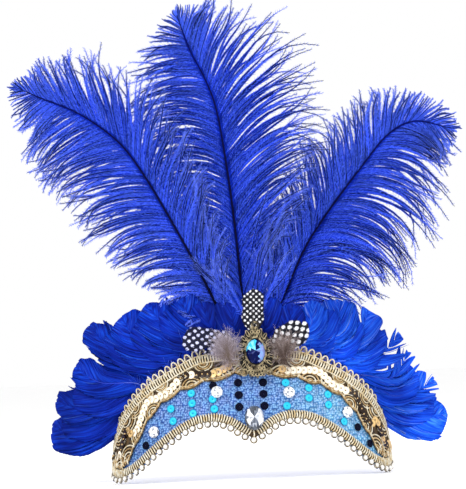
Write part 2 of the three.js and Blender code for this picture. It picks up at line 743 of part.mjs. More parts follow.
addPart("band", makeBand(), "lame");
addPart("upper_trim", makeUpperTrim(), "gold");
addPart("lower_trim", makeLowerTrim(), "gold");

SEQUINS.forEach(({ finish, at, height }, i) => {
  const disc = new THREE.CylinderGeometry(SEQUIN_RADIUS, SEQUIN_RADIUS, SEQUIN_THICK, 8);
  disc.rotateX(Math.PI / 2);
  const sequin = addPart(`sequin_${finish}_${i + 1}`, disc, finish);
  placeOnWall(sequin, at, height, GAP + SEQUIN_THICK / 2);
});

RHINESTONES.forEach(({ at, height, seat }, i) => {
  const stone = addPart(`rhinestone_${i + 1}`, cutStone(RHINESTONE, 8), "crystal");
  placeOnWall(stone, at, height, seat);
});

const drop = addPart("drop_crystal", cutStone(DROP_CRYSTAL, 12), "crystal");
placeOnWall(drop, DROP_CRYSTAL.at, DROP_CRYSTAL.centre, 2 * GAP + GIMP_THICK);

const medallion = new THREE.Group();
medallion.rotation.x = Math.PI / 2 - Math.atan(LEAN_FRONT);
medallion.position.copy(wall(0, MEDALLION.height, GAP + MEDALLION.out)).setX(MEDALLION.x);
const setting = addPart("medallion_setting", makeSetting(), "bullion");
const stone = addPart("medallion_stone", cutStone(MEDALLION_STONE, 12), "sapphire");
stone.position.z = STONE_SEAT + GAP;
medallion.add(setting, stone);
model.add(medallion);

for (const feather of GUINEA) addPart(feather.name, makeGuinea(feather), "guinea");
for (const tuft of DOWN) addPart(tuft.name, makeDown(tuft), "down");
for (const feather of GOOSE) addPart(feather.name, makeGoose(feather), "goose");
for (const feather of PLUMES) addPart(feather.name, makePlume(feather), "ostrich");

export default model;
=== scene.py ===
"""Dressed model of the showgirl feather headdress, in the frame of its CAD solids.

Sizes are in millimetres and become metres when a mesh is written. The wearer faces -Y and +Z is up.
"""

import logging
import math
from dataclasses import dataclass, field
from enum import Enum

import bmesh
import bpy
import numpy as np
from mathutils import Matrix, Vector

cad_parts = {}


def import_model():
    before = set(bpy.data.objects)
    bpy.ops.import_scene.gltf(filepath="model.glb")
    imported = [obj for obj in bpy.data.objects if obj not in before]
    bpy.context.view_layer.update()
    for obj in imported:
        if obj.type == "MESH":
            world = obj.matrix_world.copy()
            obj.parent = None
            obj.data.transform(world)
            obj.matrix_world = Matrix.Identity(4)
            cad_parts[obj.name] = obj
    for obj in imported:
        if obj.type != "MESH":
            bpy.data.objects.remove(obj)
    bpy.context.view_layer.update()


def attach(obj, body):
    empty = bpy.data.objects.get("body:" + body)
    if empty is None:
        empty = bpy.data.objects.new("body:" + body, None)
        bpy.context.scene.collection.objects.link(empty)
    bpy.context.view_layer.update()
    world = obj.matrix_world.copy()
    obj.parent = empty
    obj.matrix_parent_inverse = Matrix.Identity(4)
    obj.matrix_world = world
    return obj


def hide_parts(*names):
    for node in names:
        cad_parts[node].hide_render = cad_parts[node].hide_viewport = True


LOG = logging.getLogger("headdress")

# Types by short names
Array = np.ndarray
Socket = bpy.types.NodeSocket
Surface = tuple[Array, list[Array]]
Pairs = tuple[tuple[float, float], ...]
Triples = tuple[tuple[float, float, float], ...]

# Metres in a millimetre, room for glue, the band's thickness and half its wrap in degrees, and the gimp
MM = 0.001
GAP = 0.3
CLOTH = 2.0
WRAP = 88.0
GIMP = 4.3
GIMP_THICK = 1.4

# Directions out of the brow and up
FRONT = np.array([0.0, -1.0, 0.0])
UPWARD = np.array([0.0, 0.0, 1.0])


class Side(Enum):
    """Side of a plume's shaft that a vane grows on."""

    LEFT = 1.0
    RIGHT = -1.0


class Edge(Enum):
    """Edge of the arch that a trim follows: the cloth's foot, the braid's two edges or the gimp's foot."""

    FOOT = "foot"
    INSIDE = "inside"
    TOP = "top"
    GIMP = "gimp"


class Cut(Enum):
    """How the facets of a stone take the light."""

    BRIGHT = "bright"
    SAPPHIRE = "sapphire"
    DROP = "drop"


def curve_through(keys: Array, values: Array, x: Array) -> Array:
    """Reads a table between its rows.

    A cubic between neighbouring rows, whose slope at a row is that of the line from the row
    before it to the row after it.

    Args:
        keys: Rising column that is looked up.
        values: Column that is read.
        x: Places to read at.

    Returns:
        The values at x.
    """
    keys, values, x = (np.asarray(a, dtype=float) for a in (keys, values, x))
    last = len(keys) - 1
    row = np.clip(np.searchsorted(keys, x, side="right") - 1, 0, last - 1)
    order = np.arange(last + 1)
    before, after = np.clip(order - 1, 0, last), np.clip(order + 1, 0, last)
    slope = (values[after] - values[before]) / (keys[after] - keys[before])
    span = keys[row + 1] - keys[row]
    t = (x - keys[row]) / span
    rise = values[row + 1] - values[row]
    m0, m1 = slope[row] * span, slope[row + 1] * span
    return values[row] + t * (m0 + t * (3 * rise - 2 * m0 - m1 + t * (m0 + m1 - 2 * rise)))


def unit(v: Array) -> Array:
    """Vectors of length one in the direction of v, along the last axis."""
    return v / np.maximum(np.linalg.norm(v, axis=-1, keepdims=True), 1e-12)


def travelled(path: Array) -> Array:
    """Length of a path up to each of its points."""
    return np.concatenate([[0], np.cumsum(np.linalg.norm(np.diff(path, axis=0), axis=1))])


def full_turn(count: int) -> Array:
    """Angles spaced evenly round a circle, in radians."""
    return np.linspace(0, 2 * math.pi, count, endpoint=False)


@dataclass
class Skin:
    """Closed surfaces gathered for one mesh: points, faces, finish slots and texture coordinates."""

    points: list[Array] = field(default_factory=list)
    uvs: list[Array] = field(default_factory=list)
    faces: list[Array] = field(default_factory=list)
    slots: list[Array] = field(default_factory=list)
    count: int = 0

    def add(self, points: Array, faces: list[Array], uv: Array, slot: int = 0) -> None:
        """Adds one batch of surfaces.

        Args:
            points: Corner positions in millimetres, any leading shape by 3.
            faces: Arrays of corner indices, one row a face.
            uv: Texture coordinates, broadcast to the points' leading shape by 2.
            slot: Finish slot of the faces.
        """
        flat = np.asarray(points, dtype=float).reshape(-1, 3)
        self.points.append(flat)
        self.uvs.append(np.broadcast_to(uv, np.shape(points)[:-1] + (2,)).reshape(-1, 2))
        for rows in faces:
            self.faces.append(np.asarray(rows, dtype=np.int64) + self.count)
            self.slots.append(np.full(len(rows), slot, dtype=np.int32))
        self.count += len(flat)

    def strands(self, paths: Array, radii: float | Array, normal: Array, sides: int = 4,
                slot: int = 0, turns: float = 1.0, flat: float = 1.0) -> None:
        """Adds threads along paths.

        The first texture coordinate runs along a thread and the second is a random number of it.

        Args:
            paths: Centre lines, threads by stations by 3.
            radii: Radii, broadcast to threads by stations.
            normal: Direction that faces out of the work.
            sides: Corners of a thread's section.
            slot: Finish slot.
            turns: First coordinate at a thread's end.
            flat: Thickness against width.
        """
        count, stations, _ = paths.shape
        points, faces = tubes(paths, radii, normal, sides, flat)
        shade = np.random.default_rng(count + stations).random((count, 1, 1))
        uv = np.stack(np.broadcast_arrays(np.linspace(0, turns, stations)[:, None], shade), axis=-1)
        self.add(points, faces, uv, slot)

    def piece(self, name: str, finishes: list["Finish"], node_slot: str, nodes: tuple[str, ...] = (),
              smooth: bool = True) -> bpy.types.Object:
        """Writes the gathered surfaces as one object on the root body.

        Args:
            name: Name of the piece.
            finishes: Finish of each slot.
            node_slot: Material slot of the record; not used.
            nodes: CAD nodes that it stands for.
            smooth: Whether its faces are shaded smooth.

        Returns:
            The new object.
        """
        mesh = bpy.data.meshes.new(name)
        points = np.concatenate(self.points) * MM
        loops = np.concatenate([rows.ravel() for rows in self.faces]).astype(np.int32)
        sizes = np.concatenate([np.full(len(rows), rows.shape[1]) for rows in self.faces])
        starts = np.concatenate([[0], np.cumsum(sizes)[:-1]]).astype(np.int32)
        mesh.vertices.add(len(points))
        mesh.vertices.foreach_set("co", points.ravel())
        mesh.loops.add(len(loops))
        mesh.loops.foreach_set("vertex_index", loops)
        mesh.polygons.add(len(starts))
        mesh.polygons.foreach_set("loop_start", starts)
        mesh.polygons.foreach_set("material_index", np.concatenate(self.slots))
        mesh.polygons.foreach_set("use_smooth", np.full(len(starts), smooth))
        layer = mesh.uv_layers.new(name="UVMap")
        layer.data.foreach_set("uv", np.concatenate(self.uvs)[loops].astype(np.float32).ravel())
        mesh.update(calc_edges=True)
        mesh.validate()
        for finish in finishes:
            mesh.materials.append(finish.material())
        made = bpy.data.objects.new(name, mesh)
        bpy.context.scene.collection.objects.link(made)
        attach(made, "root")
        if nodes:
            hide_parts(*nodes)
        LOG.info("%s: %d faces", name, len(starts))
        return made


def tubes(paths: Array, radii: float | Array, normal: Array, sides: int = 3,
          flat: float = 1.0, roll: float = 0.0, closed: bool = False) -> Surface:
    """Carries a ring along many paths at once.

    Each ring lies across its path: a point plus radius times (cosine along the side direction,
    sine along the other one, flattened), where side is the path's tangent crossed with normal.

    Args:
        paths: Centre lines, paths by stations by 3.
        radii: Radii, broadcast to paths by stations.
        normal: Direction that faces out of the work, anything that broadcasts to the paths.
        sides: Corners of a ring.
        flat: Thickness of the ring against its width.
        roll: Turn of the rings about their path, in radians.
        closed: Whether the last station joins the first one.

    Returns:
        Points (paths by stations by sides by 3) and the faces.
    """
    count, stations, _ = paths.shape
    steps = np.roll(paths, -1, axis=1) - np.roll(paths, 1, axis=1) if closed else np.gradient(paths, axis=1)
    tangent = unit(steps)
    side = unit(np.cross(tangent, np.broadcast_to(normal, paths.shape)))
    other = np.cross(tangent, side)
    turn = (full_turn(sides) + roll)[:, None]
    ring = np.broadcast_to(radii, (count, stations))[..., None, None] * (
        np.cos(turn) * side[:, :, None] + flat * np.sin(turn) * other[:, :, None])
    rows = np.arange(stations if closed else stations - 1)
    base = np.arange(count)[:, None] * stations
    start, ahead = (((base + row) * sides)[..., None] for row in (rows, (rows + 1) % stations))
    near, far = np.arange(sides), (np.arange(sides) + 1) % sides
    walls = np.stack([start + near, start + far, ahead + far, ahead + near], axis=-1).reshape(-1, 4)
    first = base * sides + near
    caps = [] if closed else [first[:, ::-1], first + (stations - 1) * sides]
    return paths[:, :, None] + ring, [walls, *caps]


def shell(front: Array, back: Array) -> Surface:
    """Joins two grids of the same shape into one closed sheet.

    Args:
        front: Front points, rows by columns by 3; row cross column faces out.
        back: Back points, the same shape.

    Returns:
        Points, and the faces as two arrays, the front's with the rims and the back's.
    """
    rows, columns = front.shape[:2]
    grid = np.arange(rows * columns).reshape(rows, columns)
    far = grid + rows * columns
    a, b, c, d = grid[:-1, :-1], grid[1:, :-1], grid[1:, 1:], grid[:-1, 1:]
    front_faces = np.stack([a, b, c, d], axis=-1).reshape(-1, 4)
    back_faces = np.stack([a, d, c, b], axis=-1).reshape(-1, 4) + rows * columns
    border = np.concatenate([grid[:, 0], grid[-1, 1:], grid[::-1, -1][1:], grid[0, ::-1][1:-1]])
    edge = np.concatenate([far[:, 0], far[-1, 1:], far[::-1, -1][1:], far[0, ::-1][1:-1]])
    rim = np.stack([np.roll(border, -1), border, edge, np.roll(edge, -1)], axis=-1)
    return np.stack([front, back]), [np.concatenate([front_faces, rim]), back_faces]


def balls(centres: Array, radii: Array, around: int = 10, rings: int = 6) -> Surface:
    """Round beads: circles of latitude between two poles.

    Args:
        centres: Centres, beads by 3.
        radii: Radius of each bead.
        around: Corners of a circle.
        rings: Circles between the poles.

    Returns:
        Points and faces.
    """
    low = np.linspace(-math.pi / 2, math.pi / 2, rings + 2)[1:-1]
    turn = full_turn(around)
    circle = np.stack([np.cos(turn), np.sin(turn), np.zeros(around)], axis=-1)
    body = np.cos(low)[:, None, None] * circle + np.sin(low)[:, None, None] * UPWARD
    shape = np.concatenate([[-UPWARD], body.reshape(-1, 3), [UPWARD]])
    points = centres[:, None] + radii[:, None, None] * shape
    k = np.arange(around)
    ahead = (k + 1) % around
    walls = [np.stack([1 + r * around + k, 1 + r * around + ahead, 1 + (r + 1) * around + ahead,
                       1 + (r + 1) * around + k], axis=-1) for r in range(rings - 1)]
    top = 1 + (rings - 1) * around
    quads = np.concatenate(walls)
    poles = np.concatenate([np.stack([np.zeros_like(k), 1 + ahead, 1 + k], axis=-1),
                            np.stack([np.full_like(k, top + around), top + k, top + ahead], axis=-1)])
    start = (np.arange(len(centres)) * len(shape))[:, None, None]
    return points, [(quads + start).reshape(-1, 4), (poles + start).reshape(-1, 3)]


@dataclass
class Route:
    """A smooth curve through points, centripetal Catmull-Rom, with its length measured."""

    knots: Array
    samples: int = 801
    step: float = 1e-4

    def __post_init__(self) -> None:
        """Measures the curve."""
        self.knots = np.asarray(self.knots, dtype=float)
        self.steps = np.linspace(0, 1, self.samples)
        self.run = travelled(self.spot(self.steps))
        self.length = float(self.run[-1])

    def spot(self, t: Array) -> Array:
        """Points of the curve at shares of its knots.

        Each span is a cubic whose end slopes come from the neighbouring knots, weighted by the
        square roots of their distances.

        Args:
            t: Shares from 0 to 1.

        Returns:
            Points, the shape of t by 3.
        """
        knots = np.vstack([2 * self.knots[0] - self.knots[1], self.knots,
                           2 * self.knots[-1] - self.knots[-2]])
        x = np.clip(t, 0, 1) * (len(self.knots) - 1)
        i = np.minimum(x.astype(int), len(self.knots) - 2)
        w = (x - i)[..., None]
        p0, p1, p2, p3 = knots[i], knots[i + 1], knots[i + 2], knots[i + 3]
        d0, d1, d2 = (np.sqrt(np.linalg.norm(b - a, axis=-1, keepdims=True))
                      for a, b in ((p0, p1), (p1, p2), (p2, p3)))
        m0 = ((p1 - p0) / d0 - (p2 - p0) / (d0 + d1) + (p2 - p1) / d1) * d1
        m1 = ((p2 - p1) / d1 - (p3 - p1) / (d1 + d2) + (p3 - p2) / d2) * d1
        return p1 + w * (m0 + w * (3 * (p2 - p1) - 2 * m0 - m1 + w * (m0 + m1 - 2 * (p2 - p1))))

    def heading(self, t: Array) -> Array:
        """Unit tangents at shares of the knots."""
        return unit(self.spot(np.minimum(t + self.step, 1)) - self.spot(np.maximum(t - self.step, 0)))

    def share(self, s: Array) -> Array:
        """Knot shares at shares of the length."""
        return np.interp(np.asarray(s) * self.length, self.run, self.steps)


@dataclass(frozen=True)
class Arch:
    """The wall that everything is sewn to: half an ellipse in plan that leans back as it rises.

    Its edges are tables of heights against the wrap angle in degrees, the same on both sides.
    """

    half_width: float = 88.0
    half_depth: float = 58.0
    lean_side: float = 0.1
    lean_front: float = 0.22
    at: tuple[float, ...] = (0, 4, 8, 13, 18, 25, 32, 40, 48, 56, 64, 72, 80, 88)
    foot: tuple[float, ...] = (27.3, 31, 34.8, 37.4, 38, 36.3, 31.8, 24.9, 17.4, 10.4, 6, 4.8, 6.6, 10)
    inside: tuple[float, ...] = (64, 63.8, 62.8, 61.3, 60, 57.3, 54, 48, 38.6, 24, 11, 7.7, 9.4, 12.8)
    top: tuple[float, ...] = (75.8, 75.8, 75.7, 75.4, 74.8, 73, 68.6, 63.4, 58, 51.6, 44, 35.8, 26.5, 18)
    step: float = 0.5
    samples: int = 1601

    def height(self, edge: Edge, at: Array) -> Array:
        """Height of an edge at wrap angles in degrees, the gimp's taken square to the slope of the foot."""
        if edge is Edge.GIMP:
            return self.height(Edge.FOOT, at) - GIMP * self.slant(Edge.FOOT, at)
        return curve_through(self.at, getattr(self, edge.value), np.abs(at))

    def wall(self, at: Array, height: Array, off: Array = 0.0) -> Array:
        """Points of the wall, or off it.

        The half axes shrink with the height, and the point is (a sine, -b cosine, height).

        Args:
            at: Wrap angles in degrees.
            height: Heights.
            off: Distance out of the wall.

        Returns:
            Points.
        """
        at, height, off = np.broadcast_arrays(np.radians(at), height, off)
        a = self.half_width - self.lean_side * height + off
        b = self.half_depth - self.lean_front * height + off
        return np.stack([a * np.sin(at), -b * np.cos(at), height], axis=-1)

    def axes(self, at: Array, height: Array) -> tuple[Array, Array, Array]:
        """Unit directions along the wall, up it and out of it."""
        along = unit(self.wall(at + self.step, height) - self.wall(at - self.step, height))
        rise = unit(self.wall(at, height + self.step) - self.wall(at, height - self.step))
        out = unit(np.cross(along, rise))
        return along, np.cross(out, along), out

    def settle(self, points: Array, off: Array) -> Array:
        """Moves points that are near the wall to a distance off it, at their own height."""
        a = self.half_width - self.lean_side * points[..., 2]
        b = self.half_depth - self.lean_front * points[..., 2]
        at = np.degrees(np.arctan2(points[..., 0] / a, -points[..., 1] / b))
        return self.wall(at, points[..., 2], off)

    def stride(self, edge: Edge, at: Array) -> Array:
        """The short way along an edge from just before each wrap angle to just after it."""
        middle = np.clip(at, self.step - WRAP, WRAP - self.step)
        near, far = middle - self.step, middle + self.step
        return self.wall(far, self.height(edge, far)) - self.wall(near, self.height(edge, near))

    def slant(self, edge: Edge, at: Array) -> Array:
        """How much longer a slanted edge is than its run in plan."""
        stride = self.stride(edge, at)
        return np.linalg.norm(stride, axis=-1) / np.linalg.norm(stride[..., :2], axis=-1)

    def spaced(self, edge: Edge, pitch: float, inset: float = 1.0) -> Array:
        """Wrap angles spaced evenly along an edge, at about a pitch and but for an inset at its ends."""
        at = np.linspace(-WRAP + inset, WRAP - inset, self.samples)
        run = travelled(self.wall(at, self.height(edge, at)))
        return np.interp(np.linspace(0, run[-1], max(2, round(run[-1] / pitch))), run, at)

    def beside(self, edge: Edge, at: Array, u: Array, v: Array, off: Array) -> Array:
        """Points given by a run along an edge and a distance across it, settled on the wall.

        Args:
            edge: The edge.
            at: Wrap angles of the local origins, any shape.
            u: Distances along the edge, broadcast to at by stations.
            v: Distances across it, up or outward positive.
            off: Distances off the wall.

        Returns:
            Points, at's shape by stations by 3.
        """
        height = self.height(edge, at)
        along = unit(self.stride(edge, at))
        across = unit(np.cross(self.out(edge, at), along))
        spot = self.wall(at, height)[..., None, :]
        return self.settle(spot + along[..., None, :] * np.asarray(u)[..., None]
                           + across[..., None, :] * np.asarray(v)[..., None], off)

    def out(self, edge: Edge, at: Array) -> Array:
        """Directions out of the wall at an edge."""
        return self.axes(at, self.height(edge, at))[2]


ARCH = Arch()


@dataclass
class Recipe:
    """Node tree of one material, with its principled shader."""

    name: str

    def __post_init__(self) -> None:
        """Makes the material with a shader and an output."""
        self.made = bpy.data.materials.new(self.name)
        self.made.use_nodes = True
        self.tree = self.made.node_tree
        self.tree.nodes.clear()
        self.shader = self.add("ShaderNodeBsdfPrincipled")
        output = self.add("ShaderNodeOutputMaterial")
        self.tree.links.new(self.shader.outputs[0], output.inputs[0])

    def add(self, kind: str, **settings: object) -> bpy.types.Node:
        """Adds a node and sets its properties."""
        node = self.tree.nodes.new(kind)
        for key, value in settings.items():
            setattr(node, key, value)
        return node

    def fix(self, **constants: object) -> None:
        """Sets constants on the shader's own sockets, an underscore standing for a space."""
        for key, value in constants.items():
            self.shader.inputs[key.replace("_", " ")].default_value = value

    def feed(self, socket: Socket, value: object) -> None:
        """Links a socket to another one, or gives it a constant."""
        if isinstance(value, Socket):
            self.tree.links.new(value, socket)
        else:
            socket.default_value = value

    def tint(self, value: Socket) -> None:
        """Links the shader's base colour."""
        self.feed(self.shader.inputs["Base Color"], value)

    def math(self, operation: str, a: object, b: object = 0.0) -> Socket:
        """A math node's result."""
        node = self.add("ShaderNodeMath", operation=operation)
        self.feed(node.inputs[0], a)
        self.feed(node.inputs[1], b)
        return node.outputs[0]

    def blend(self, a: object, b: object, share: float) -> Socket:
        """Two values added up, the first one weighted by a share and the second by the rest."""
        rest = round(1 - share, 6)
        return self.math("ADD", self.math("MULTIPLY", a, share), self.math("MULTIPLY", b, rest))

    def mix(self, share: object, a: object, b: object, blend: str = "MIX") -> Socket:
        """A mix of two colours."""
        node = self.add("ShaderNodeMix", data_type="RGBA", blend_type=blend)
        self.feed(node.inputs[0], share)
        self.feed(node.inputs[6], a)
        self.feed(node.inputs[7], b)
        return node.outputs[2]

    def ramp(self, share: Socket, stops: list[tuple[float, tuple]]) -> Socket:
        """A colour ramp with the given stops."""
        node = self.add("ShaderNodeValToRGB")
        while len(node.color_ramp.elements) < len(stops):
            node.color_ramp.elements.new(0.5)
        for element, (place, colour) in zip(node.color_ramp.elements, stops):
            element.position, element.color = place, colour
        self.feed(node.inputs[0], share)
        return node.outputs[0]

    def place(self, scale: tuple = (1, 1, 1), turn: float = 0.0, of: str = "UV") -> Socket:
        """Texture coordinates, scaled and turned about Z."""
        node = self.add("ShaderNodeMapping")
        self.feed(node.inputs["Vector"], self.add("ShaderNodeTexCoord").outputs[of])
        node.inputs["Scale"].default_value = scale
        node.inputs["Rotation"].default_value = (0, 0, turn)
        return node.outputs[0]

    def uv(self) -> tuple[Socket, Socket]:
        """The two texture coordinates."""
        node = self.add("ShaderNodeSeparateXYZ")
        self.feed(node.inputs[0], self.add("ShaderNodeTexCoord").outputs["UV"])
        return node.outputs[0], node.outputs[1]

    def noise(self, scale: float, where: Socket, detail: float = 2.0) -> Socket:
        """Soft noise from 0 to 1."""
        node = self.add("ShaderNodeTexNoise")
        self.feed(node.inputs["Vector"], where)
        node.inputs["Scale"].default_value = scale
        node.inputs["Detail"].default_value = detail
        return node.outputs[0]

    def bump(self, height: Socket, strength: float, distance: float) -> None:
        """Bump on the shader's normal."""
        node = self.add("ShaderNodeBump")
        node.inputs["Strength"].default_value = strength
        node.inputs["Distance"].default_value = distance * MM
        self.feed(node.inputs["Height"], height)
        self.feed(self.shader.inputs["Normal"], node.outputs[0])


def colour(code: str, gain: float = 1.0) -> tuple[float, float, float, float]:
    """Linear colour of a hexadecimal screen colour, times a gain."""
    parts = np.array([int(code[i:i + 2], 16) for i in (0, 2, 4)]) / 255
    linear = np.where(parts <= 0.04045, parts / 12.92, ((parts + 0.055) / 1.055) ** 2.4) * gain
    return (*np.clip(linear, 0, 1).tolist(), 1.0)


# Ends of a ramp that is used as a mask
BLACK = (0, 0, 0, 1)
WHITE = (1, 1, 1, 1)


@dataclass(frozen=True)
class Finish:
    """A surface finish that makes its material once."""

    name: str

    def material(self) -> bpy.types.Material:
        """The material, made at the first call."""
        known = bpy.data.materials.get(self.name)
        if known:
            return known
        recipe = Recipe(self.name)
        self.paint(recipe)
        return recipe.made

    def paint(self, recipe: Recipe) -> None:
        """Wires the material's nodes."""
        raise NotImplementedError


@dataclass(frozen=True)
class FibreFinish(Finish):
    """Feather fibres: a colour from root to tip, varied by fibre and by patch.

    The first texture coordinate is the share along the fibre and the second a random number of it.
    Own is how much of the variation is the fibre's own rather than its patch's.
    """

    root: str = "1A2BC8"
    middle: str = "2340E0"
    tip: str = "5A68E4"
    vary: float = 0.35
    roughness: float = 0.55
    gloss: float = 0.3
    patch: float = 70.0
    midway: float = 0.55
    own: float = 0.6

    def paint(self, recipe: Recipe) -> None:
        """Wires a ramp, a random brightness and slow patches."""
        u, v = recipe.uv()
        base = recipe.ramp(u, [(0.0, colour(self.root)), (self.midway, colour(self.middle)),
                               (1.0, colour(self.tip))])
        patches = recipe.noise(self.patch, recipe.place(of="Object"))
        blend = recipe.blend(v, patches, self.own)
        level = recipe.math("ADD", recipe.math("MULTIPLY", blend, 2 * self.vary), 1 - self.vary)
        bright = recipe.add("ShaderNodeHueSaturation")
        recipe.feed(bright.inputs["Color"], base)
        recipe.feed(bright.inputs["Value"], level)
        recipe.tint(bright.outputs[0])
        recipe.fix(Roughness=self.roughness, Specular_IOR_Level=self.gloss)


@dataclass(frozen=True)
class VaneFinish(Finish):
    """Smooth goose vane: streaks along its barbs of painted shade and painted highlight, a few pale
    streaks of painted sheen, and slow patches that darken and lighten it.

    The first texture coordinate is the share along a barb and the second its place on the quill,
    in millimetres.
    """

    deep: str = "04147A"
    base: str = "0A2EA8"
    bright: str = "1548D0"
    pale: str = "4A78E0"
    broad: tuple[float, float, float] = (1.2, 0.3, 1)
    fine: tuple[float, float, float] = (1.6, 1.5, 1)
    strong: tuple[float, float, float] = (0.6, 1.1, 1)
    patch: float = 28.0
    dark_patch: tuple[float, ...] = (0.55, 0.55, 0.6, 1)
    light_patch: tuple[float, ...] = (1.3, 1.3, 1.2, 1)

    def paint(self, recipe: Recipe) -> None:
        """Wires broad and fine streaks of painted shade and highlight, a few pale ones of painted sheen,
        slow patches and a fine bump.
        """
        broad, fine = (recipe.noise(1.0, recipe.place(scale), 2.0) for scale in (self.broad, self.fine))
        # Painted shade and highlight: the streaks run from the deep colour through the base to the bright
        # one.
        shade = recipe.ramp(recipe.blend(broad, fine, 0.55), [
            (0.36, colour(self.deep)), (0.5, colour(self.base)), (0.64, colour(self.bright))])
        # Painted sheen: a few pale streaks where the strong noise is high.
        strong = recipe.noise(1.0, recipe.place(self.strong), 1.0)
        light = recipe.ramp(strong, [(0.66, BLACK), (0.78, (0.7, 0.7, 0.7, 1))])
        patches = recipe.noise(self.patch, recipe.place(of="Object"), 2.0)
        level = recipe.ramp(patches, [(0.38, self.dark_patch), (0.6, self.light_patch)])
        whole = recipe.mix(1.0, recipe.mix(light, shade, colour(self.pale)), level, "MULTIPLY")
        recipe.tint(whole)
        recipe.bump(fine, 0.45, 0.12)
        recipe.fix(Roughness=0.55, Specular_IOR_Level=0.05)


@dataclass(frozen=True)
class DottedFinish(Finish):
    """Guinea feather: pale dots in staggered rows on black barbs. Coordinates are millimetres."""

    pitch: float = 2.8
    radius: float = 0.8
    ground: str = "0A0A0E"
    dot: str = "F4F4FA"
    streak: str = "2C2D38"
    scatter: float = 0.18

    def paint(self, recipe: Recipe) -> None:
        """Wires the dots from the nearest point of a lattice turned by an eighth."""
        cells = recipe.add("ShaderNodeTexVoronoi", voronoi_dimensions="2D")
        recipe.feed(cells.inputs["Vector"], recipe.place((1 / self.pitch,) * 3, math.pi / 4))
        cells.inputs["Scale"].default_value = 1.0
        cells.inputs["Randomness"].default_value = self.scatter
        rim = self.radius / self.pitch
        dots = recipe.ramp(cells.outputs["Distance"], [(rim * 0.8, WHITE), (rim * 1.15, BLACK)])
        streak = recipe.noise(1.0, recipe.place((0.4, 3.0, 1)))
        ground = recipe.mix(streak, colour(self.ground), colour(self.streak))
        recipe.tint(recipe.mix(dots, ground, colour(self.dot)))
        recipe.fix(Roughness=0.6, Specular_IOR_Level=0.05)


@dataclass(frozen=True)
class LameFinish(Finish):
    """Crinkled metallic knit: light cells in furrows darkened by painted shade, painted lighter on the
    right side.

    Coordinates are millimetres. The painted light on the cloth grows from a run along the band on,
    by so much for each millimetre. Each pair of colours is the left one and the painted lit one.
    """

    cell: float = 1.4
    scatter: float = 0.75
    jitter: tuple[float, float, float] = (0.8, 0.8, 0)
    lit_from_run: float = 110.0
    lit_per_mm: float = 0.012
    light: tuple[str, str] = ("7FB2E6", "A6DAF4")
    furrow: tuple[str, str] = ("1E4E98", "3C84B8")
    lilac: str = "9CA6E8"

    def paint(self, recipe: Recipe) -> None:
        """Wires cells with their furrows of painted shade, broad lilac patches, the painted light to the
        right and a bump.
        """
        jitter = recipe.noise(1.3, recipe.place(), 1.0)
        shift = recipe.add("ShaderNodeVectorMath", operation="MULTIPLY_ADD")
        recipe.feed(shift.inputs[0], jitter)
        shift.inputs[1].default_value = self.jitter
        recipe.feed(shift.inputs[2], recipe.place())
        cells = recipe.add("ShaderNodeTexVoronoi", voronoi_dimensions="2D", feature="F1")
        recipe.feed(cells.inputs["Vector"], shift.outputs[0])
        cells.inputs["Scale"].default_value = 1 / self.cell
        cells.inputs["Randomness"].default_value = self.scatter
        # Painted shade: the furrows between the cells take the darker colour.
        dome = recipe.ramp(cells.outputs["Distance"], [(0.12, WHITE), (0.62, BLACK)])
        patches = recipe.noise(0.16, recipe.place(), 3.0)
        lift = recipe.ramp(patches, [(0.4, BLACK), (0.7, (0.6, 0.6, 0.6, 1))])
        run, _ = recipe.uv()
        # Painted light: the cloth turns lighter along the band towards the right side.
        right = recipe.math("MULTIPLY", recipe.math("SUBTRACT", run, self.lit_from_run), self.lit_per_mm)
        clear = recipe.ramp(right, [(0.0, BLACK), (0.6, WHITE)])
        cloth = recipe.mix(clear, *(colour(code) for code in self.light))
        ground = recipe.mix(dome, recipe.mix(clear, *(colour(code) for code in self.furrow)),
                            recipe.mix(lift, cloth, colour(self.lilac)))
        fleck = recipe.ramp(cells.outputs["Color"], [(0.0, (0.5, 0.5, 0.55, 1)), (1.0, (1.2, 1.2, 1.2, 1))])
        recipe.tint(recipe.mix(1.0, ground, fleck, "MULTIPLY"))
        recipe.bump(dome, 0.7, 0.25)
        recipe.fix(Metallic=0.2, Roughness=0.42, Specular_IOR_Level=0.3)


@dataclass(frozen=True)
class FeltFinish(Finish):
    """Plain matt felt on the inner face."""

    base: str = "1C3F86"

    def paint(self, recipe: Recipe) -> None:
        """Wires mottled fibres with a bump."""
        fuzz = recipe.noise(2.4, recipe.place(), 4.0)
        recipe.tint(recipe.mix(fuzz, colour(self.base, 0.7), colour(self.base, 1.35)))
        recipe.bump(fuzz, 0.5, 0.2)
        recipe.fix(Roughness=0.95, Sheen_Weight=0.2)


@dataclass(frozen=True)
class ThreadFinish(Finish):
    """Metallic thread: the ply's twist as a fine bump and as painted shade in its grooves, and the dark
    colour over the light one in patches.
    """

    light: str = "E2C48C"
    dark: str = "6E5330"
    metal: float = 0.6
    roughness: float = 0.38
    twist: float = 60.0
    spread: float = 6.28

    def paint(self, recipe: Recipe) -> None:
        """Wires patches of the dark colour over the light thread, the twist's painted shade and its bump,
        which starts anew on each thread.
        """
        u, v = recipe.uv()
        plies = recipe.math("SINE", recipe.math("ADD", recipe.math("MULTIPLY", u, self.twist),
                                                recipe.math("MULTIPLY", v, self.spread)))
        patches = recipe.noise(420.0, recipe.place(of="Object"), 2.0)
        light_share = recipe.ramp(patches, [(0.36, BLACK), (0.6, WHITE)])
        shade = recipe.mix(light_share, colour(self.dark), colour(self.light))
        # Painted shade: the thread darkens in the grooves of its twist.
        furrow = recipe.math("ADD", recipe.math("MULTIPLY", plies, 0.22), 0.78)
        lit = recipe.add("ShaderNodeHueSaturation")
        recipe.feed(lit.inputs["Color"], shade)
        recipe.feed(lit.inputs["Value"], furrow)
        recipe.tint(lit.outputs[0])
        recipe.bump(plies, 0.4, 0.08)
        recipe.fix(Metallic=self.metal, Roughness=self.roughness)


